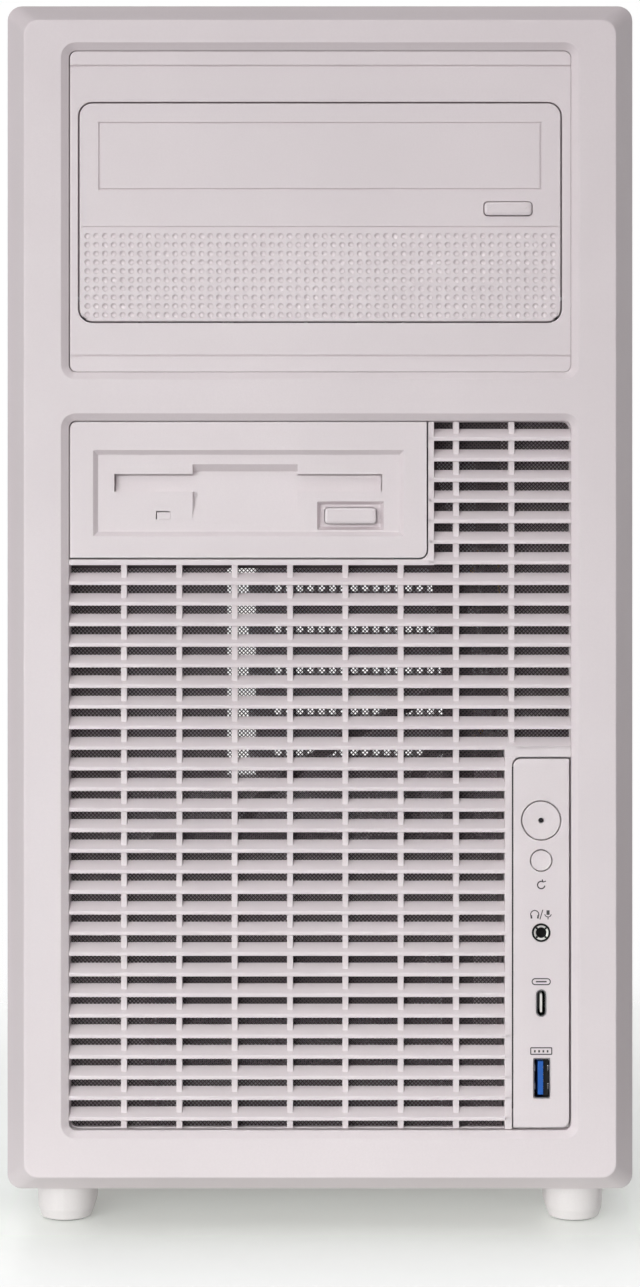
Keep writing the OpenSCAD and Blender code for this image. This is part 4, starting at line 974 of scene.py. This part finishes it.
def fan_guard():
    """Round rings on crossed wires under the power supply's fan."""
    s = Shape()
    x, y, z = mm_box("psu_fan_guard")
    cx, cy, cz = sum(x) / 2, sum(y) / 2, z[1] - 0.8
    turns = [math.pi * k / 4 for k in range(8)]
    for r in range(12, 63, 10):
        wire = [(r + 0.6 * math.cos(a), cz + 0.6 * math.sin(a)) for a in turns]
        s.skin(rings(wire, (cx, cy), 72, "z"), around_too=True)
    wire = [(0.6 * math.cos(a), cz + 0.45 + 0.35 * math.sin(a)) for a in turns]
    s.solid([[(cx + u, cy + t, h) for u, h in wire] for t in (-63.5, 63.5)])
    s.solid([[(cx + t, cy + u, h) for u, h in wire] for t in (-63.5, 63.5)])
    s.build("fan_guard_wires", chrome, "chassis", "zinc_steel", ["psu_fan_guard"], 50)


def side_panes():
    """The glass with polished slanted edges, and the steel panel with folded soft edges."""
    x, y, z = mm_box("side_glass")
    s = Shape()
    pane = [(1.0, x[0]), (0.7, x[0]), (0, x[0] + 0.7), (0, x[1] - 0.7), (0.7, x[1]), (1.0, x[1])]
    s.solid(stack(y, z, soften(pane, 0.2, 3), 3, 6, "x", 0.8))
    s.build("glass_pane", glass, "glass_side", "tinted_glass", ["side_glass"])
    x, y, z = mm_box("steel_side_panel")
    s = Shape()
    y = (y[0], 208.8)
    fold = soften([(0.0, x[1] - 5.9), (0, x[1]), (3, x[1])], 1.3, 5)
    outside = stack(y, z, fold, 1.2, 4, "x", 0)
    inner = [(3, x[1] - 0.8), (0.8, x[1] - 0.8), (0.8, x[1] - 5.9)]
    inside = stack(y, z, inner, 0.6, 4, "x", 0)
    s.skin(outside)
    s.cap(outside[-1])
    s.cap(inside[0])
    s.skin(inside + [outside[0]])
    flap = grow(z, -20.2)
    a, b = x[1] - 5.9, x[1] - 5.1
    s.along_z([(a, y[1] - 2), (b, y[1] - 2), (b, 210.1), (x[0], 210.1), (x[0], 209.3), (a, 209.3)], flap)
    s.build("steel_panel", shell_steel, "steel_side", "shell_steel", ["steel_side_panel"])


def port_inserts():
    """Plastic tongues with contacts in the rear sockets, drawn over the plain ones."""
    s = Shape()
    x, y, _ = mm_box("rear_ports")
    face, board_x, base = y[1], x[1], mm_box("motherboard")[2][0]
    for height, rows, tint in ((100, 2, 1), (122, 1, 0), (144, 2, 1), (166, 2, 1), (210, 2, 0)):
        for k in range(rows):
            s.colour = tint
            cx = board_x - 4 - k * 8
            s.slab(around(cx, 2.1), (face - 10.6, face - 0.9), around(base + height, 11.3), 0.15, 0.2)
            s.colour = 2
            for j in range(4):
                z = around(base + height - 3.6 + 2.4 * j, 1.1)
                s.slab(around(cx - 1.1, 0.14), (face - 9, face - 1.6), z, 0.04, 0.05, 1, 1)
    for j in range(8):
        z = around(base + 184.4 + 1.02 * j, 0.4)
        s.slab(around(board_x - 4.1, 0.3), (face - 9, face - 2.5), z, 0.05, 0.08, 1, 1)
    s.build("rear_socket_tongues", [dark_plastic, blue, brass], "chassis", "black_plastic")


def board_parts():
    """Coils, capacitors, chips, headers and a cell on the main board, which faces -X."""
    s = Shape()
    bx, by, bz = mm_box("motherboard")
    top, y0, z0 = bx[0], by[0], bz[0]

    def chip(y, z, w, h, t, colour, r=0.3):
        s.colour = colour
        rim = soften([(r + 0.4, top - t), (0, top - t), (0, top + 0.1)], 0.25, 2)
        s.solid(stack(around(y, w), around(z, h), rim, r, 2, "x", least=0.05))

    def can(y, z, r, t):
        s.colour = 1
        case = [(r, top), (r, top - 0.8), (r * 0.9, top - 1.1), (r, top - 1.4), (r, top - t + 0.4),
                (r - 0.4, top - t)]
        s.solid(rings(case, (y, z), 20, "x"))
        s.colour = 0
        mark = rings([(r - 0.7, top - t + 0.05), (r - 0.7, top - t - 0.04)], (y, z), 20, "x")
        s.solid([ring[:10] for ring in mark])

    for k in range(6):
        chip(y0 + 196, z0 + 136 + 13.5 * k, 8.2, 8.2, 5.5, 2, 1.2)
    for k in range(7):
        can(y0 + 187, z0 + 136 + 11.5 * k, 2.9, 8)
    for k in range(5):
        can(y0 + 122 + 12.5 * k, z0 + 224, 2.9, 8)
        chip(y0 + 122 + 12.5 * k, z0 + 236, 8.2, 8.2, 5.5, 2, 1.2)
    for k in range(7):
        can(y0 + 226 - 6.8 * (k % 2), z0 + 10 + 8.2 * k, 2.6, 7)
    chips = ((200, 30, 9, 9, 1), (196, 84, 9, 9, 1), (90, 40, 14, 14, 1.4), (30, 100, 8, 6, 1),
             (120, 84, 7, 7, 0.9), (150, 96, 5, 7, 0.9), (26, 128, 6, 5, 1.2), (60, 22, 10, 12, 1.2))
    for y, z, w, h, t in chips:
        chip(y0 + y, z0 + z, w, h, t, 3)
    s.colour = 1
    battery = [(9.9, top), (9.9, top - 4.4), (9.2, top - 5), (0.5, top - 5)]
    s.solid(rings(battery, (y0 + 108, z0 + 60), 40, "x"))
    for start, count in ((26, 9), (80, 5), (110, 5), (140, 10), (176, 9)):
        chip(y0 + start + count * 1.27, z0 + 5, count * 2.54, 5.1, 2.5, 0, 0.2)
        for j in range(count * 2):
            chip(y0 + start + 1.27 + (j // 2) * 2.54, z0 + 3.7 + 2.54 * (j % 2), 0.64, 0.64, 8, 4, 0.1)
    for k in range(150):
        y, z = y0 + random.uniform(24, 225), z0 + random.uniform(12, 236)
        w, h = random.choice(((1.6, 0.8), (0.8, 1.6), (2.0, 1.2), (1.2, 2.0)))
        chip(y, z, w, h, random.uniform(0.5, 0.9), random.choice((1, 3, 3, 4)), 0.05)
    looks = [dark_plastic, zinc, dark_steel, socket_black, brass]
    s.build("board_components", looks, "chassis", "black_plastic")


def memory():
    """Memory modules in ribbed heat spreaders with a notched crest."""
    s = Shape()
    x, y, z = mm_box("memory_modules")
    for cy in (y[0] + 3.5, y[1] - 3.5):
        s.colour = 0
        low, high = cy - 3.2, cy + 3.2
        body = soften([(x[0] + 4, low), (x[1], low), (x[1], high), (x[0] + 4, high)], 0.5, 3, True)
        s.along_z(body, (z[0] + 0.5, z[1] - 0.5))
        for k in range(9):
            foot = z[0] + 3 + k * 14.6
            crest = soften([(x[0], cy - 2), (x[0] + 5, low), (x[0] + 5, high), (x[0], cy + 2)], 0.7, 3, True)
            s.along_z(crest, (foot, foot + 9.6))
        for side in (-1, 1):
            for k in range(4):
                at = x[0] + 9 + 5 * k
                rib = [(at, cy + side * 3.1), (at + 2, cy + side * 3.1), (at + 1.7, cy + side * 3.48),
                       (at + 0.3, cy + side * 3.48)]
                s.along_z(rib, (z[0] + 6, z[1] - 6))
        s.colour = 1
        s.slab((x[1] - 2.2, x[1]), around(cy, 1.3), (z[0], z[1]), 0.1, 0.1, 1, 1)
    s.build("memory_with_spreaders", [alloy, board], "chassis", "black_steel", ["memory_modules"])


def drive_shell():
    """The flat drive on the shroud: two pressed shells with a seam and corner screws."""
    s = Shape()
    x, y, z = mm_box("solid_drive")
    seam = (z[0] + z[1]) / 2
    rim = [(1.2, z[0]), (0, z[0]), (0, seam - 0.2), (0.35, seam), (0, seam + 0.2), (0, z[1]), (1.2, z[1])]
    s.solid(stack(x, y, soften(rim, 0.35, 2), 3, 5, "z", 0.8))
    s.colour = 1
    for i in (x[0] + 4.5, x[1] - 4.5):
        for j in (y[0] + 4.5, y[1] - 4.5):
            screw = ((1.9, z[1] - 0.2), (1.9, z[1] + 0.25), (1.5, z[1] + 0.4))
            s.solid(rings(screw, (i, j), 24, "z"))
    s.build("solid_drive_shell", [dark_plastic, zinc], "chassis", "black_plastic", ["solid_drive"])


def board_coolers():
    """Finned heat sinks on the board's regulators, and a low one with a chamfered lid on its hub chip."""
    s = Shape()
    x, y, z = mm_box("board_heatsinks")
    base, z0, y0, y1 = x[1], z[1] - 86, y[1] - 18, y[1]
    s.along_z(soften([(base - 6, y0), (base, y0), (base, y1), (base - 6, y1)], 0.4, 2, True), (z0, z[1]))
    for k in range(5):
        a = y0 + 4 * k
        for part in range(4):
            low, tip = z0 + part * 21.9, base - 26 + part % 2 * 0.001
            fin = soften([(tip, a), (base - 5, a), (base - 5, a + 2), (base - 26, a + 2)], 0.5, 3, True)
            s.along_z(fin, (low, low + 20.3))
    lid_y, lid_z = (y[0], y[0] + 38), (z[0], z[0] + 36)
    rim = soften([(3, base - 8), (1.6, base - 8), (0, base - 6.4), (0, base)], 0.4, 3)
    s.solid(stack(lid_y, lid_z, rim, 3, 5, "x", least=0.4))
    for k in range(5):
        steps = ((0, base - 7.9), (0, base - 8.3), (0.3, base - 8.6))
        s.solid(stack(grow(lid_y, -6), around(lid_z[0] + 8 + 5 * k, 2.4), steps, 0.9, 3, "x"))
    s.build("board_coolers", dark_steel, "chassis", "black_steel", ["board_heatsinks"])


pill("door_push_button", BUTTON_X, BUTTON_Y, BUTTON_Z, "door_button")
floppy_cover()
louvre_grille()
front_filter()
io_panel()
round_button("power_push_button", POWER_R, POWER_Z, "power_button", 1.0)
round_button("reset_push_button", RESET_R, RESET_Z, "reset_button", 0)
sockets()
pictograms()
feet()
thumb_screws("glass_side_screws", "left_thumb_screws", dark_steel, "glass_side", "black_steel")
thumb_screws("steel_side_screws", "right_thumb_screws", chrome, "steel_side", "zinc_steel")
pan_screws()
filter_sheet("top_dust_filter", "top_filter", "top_filter", 5, 3)
filter_sheet("bottom_dust_filter", "psu_filter", "psu_filter", 5, 2, 209.0)
for name, body, case, count, axis, r in (
        ("cooler_fan_rotor", "cooler_rotor", "cooler_fan_frame", 9, "y", 56.5),
        ("rear_fan_rotor", "rear_rotor", "rear_fan_frame", 7, "y", 56.5),
        ("psu_fan_rotor", "psu_rotor", "psu_fan_guard", 7, "z", 61)):
    case_x, case_y, case_z = mm_box(case)
    middle = (sum(case_x) / 2, sum(case_z if axis == "y" else case_y) / 2)
    fan_rotor(name + "_blades", name, body, count, axis, middle, r)
fan_guard()
side_panes()
port_inserts()
board_parts()
memory()
drive_shell()
board_coolers()

# ---------------------------------------------------------------- stage
for node in frame["nodes"].values():
    for used in [] if node.hide_render else node.material_slots:
        look = used.material.name.split(".")[0] if used.material else None
        if look in SLOTS:
            used.material = SLOTS[look]


def floor():
    """A round pale floor that takes the shadow and fades into the white of the studio."""
    mesh = bpy.data.meshes.new("floor")
    bm = bmesh.new()
    bmesh.ops.create_circle(bm, cap_ends=True, radius=1.2, segments=96)
    bm.to_mesh(mesh)
    bm.free()
    n = Nodes("studio floor")
    clear = n.add("ShaderNodeVectorMath", {0: n.coords}, operation="ABSOLUTE").outputs[0]
    clear = n.add("ShaderNodeVectorMath", {0: clear, 1: (0.11, 0.21, 0)}, operation="SUBTRACT").outputs[0]
    clear = n.add("ShaderNodeVectorMath", {0: clear, 1: (0, 0, 0)}, operation="MAXIMUM").outputs[0]
    far = n.add("ShaderNodeVectorMath", {0: clear}, operation="LENGTH").outputs["Value"]
    fade = n.math("EXPONENT", n.math("MULTIPLY", far, -18.0))
    n.use(Base_Color=linear(238, 242, 238), Roughness=n.spread(n.noise(5), 0.4, 0.5),
          Emission_Color=linear(248, 252, 247), Emission_Strength=0.16, Alpha=fade)
    mesh.materials.append(n.material)
    put("floor", mesh)


def area(name, place, target, size, power, spread=180, colour=(1, 1, 1)):
    light = bpy.data.lights.new(name, "AREA")
    light.spread = math.radians(spread)
    light.shape, light.size, light.size_y = "RECTANGLE", size[0], size[1]
    light.energy, light.color = power, colour
    obj = put(name, light)
    obj.location = place
    obj.rotation_euler = (Vector(target) - Vector(place)).to_track_quat("-Z", "Y").to_euler()
    obj.visible_camera = False


def world():
    w = bpy.data.worlds.new("studio")
    w.use_nodes = True
    tree = w.node_tree
    path = tree.nodes.new("ShaderNodeLightPath")
    seen = tree.nodes["Background"]
    seen.inputs["Color"].default_value = (1, 1, 1, 1)
    seen.inputs["Strength"].default_value = 1.0
    lit = tree.nodes.new("ShaderNodeBackground")
    lit.inputs["Color"].default_value = (1.0, 0.985, 0.99, 1)
    lit.inputs["Strength"].default_value = 0.325
    mix = tree.nodes.new("ShaderNodeMixShader")
    tree.links.new(path.outputs["Is Camera Ray"], mix.inputs["Fac"])
    tree.links.new(lit.outputs[0], mix.inputs[1])
    tree.links.new(seen.outputs[0], mix.inputs[2])
    tree.links.new(mix.outputs[0], tree.nodes["World Output"].inputs["Surface"])
    bpy.context.scene.world = w


floor()
world()
face = (0, -0.2, 0.2)
area("key", (-1.5, -2.2, 0.5), face, (1.0, 1.0), 24.5)
area("fill", (1.4, -2.2, 0.5), face, (1.0, 1.0), 1.2)
area("high", (0, -1.6, 2.0), face, (1.2, 1.2), 8.5)
area("low beam", (-0.5, -2.5, 0.45), (0, -0.2, -0.1), (0.6, 0.6), 0.74, 30, (0.92, 1.0, 0.96))
area("back left", (-0.9, 2.0, 0.9), (0, 0, 0.2), (1.2, 1.2), 16)
area("back right", (1.0, 2.0, 0.6), (0, 0, 0.2), (1.2, 1.2), 12)

camera = bpy.data.cameras.new("camera")
camera.lens, camera.sensor_width = 82.1, 36
camera.shift_y = -0.1177
view = put("camera", camera)
view.location = (0, FRONT * MM - 1.030, 0.262)
view.rotation_euler = (math.radians(90), 0, 0)
bpy.context.scene.camera = view
bpy.context.scene.view_settings.view_transform = "Standard"
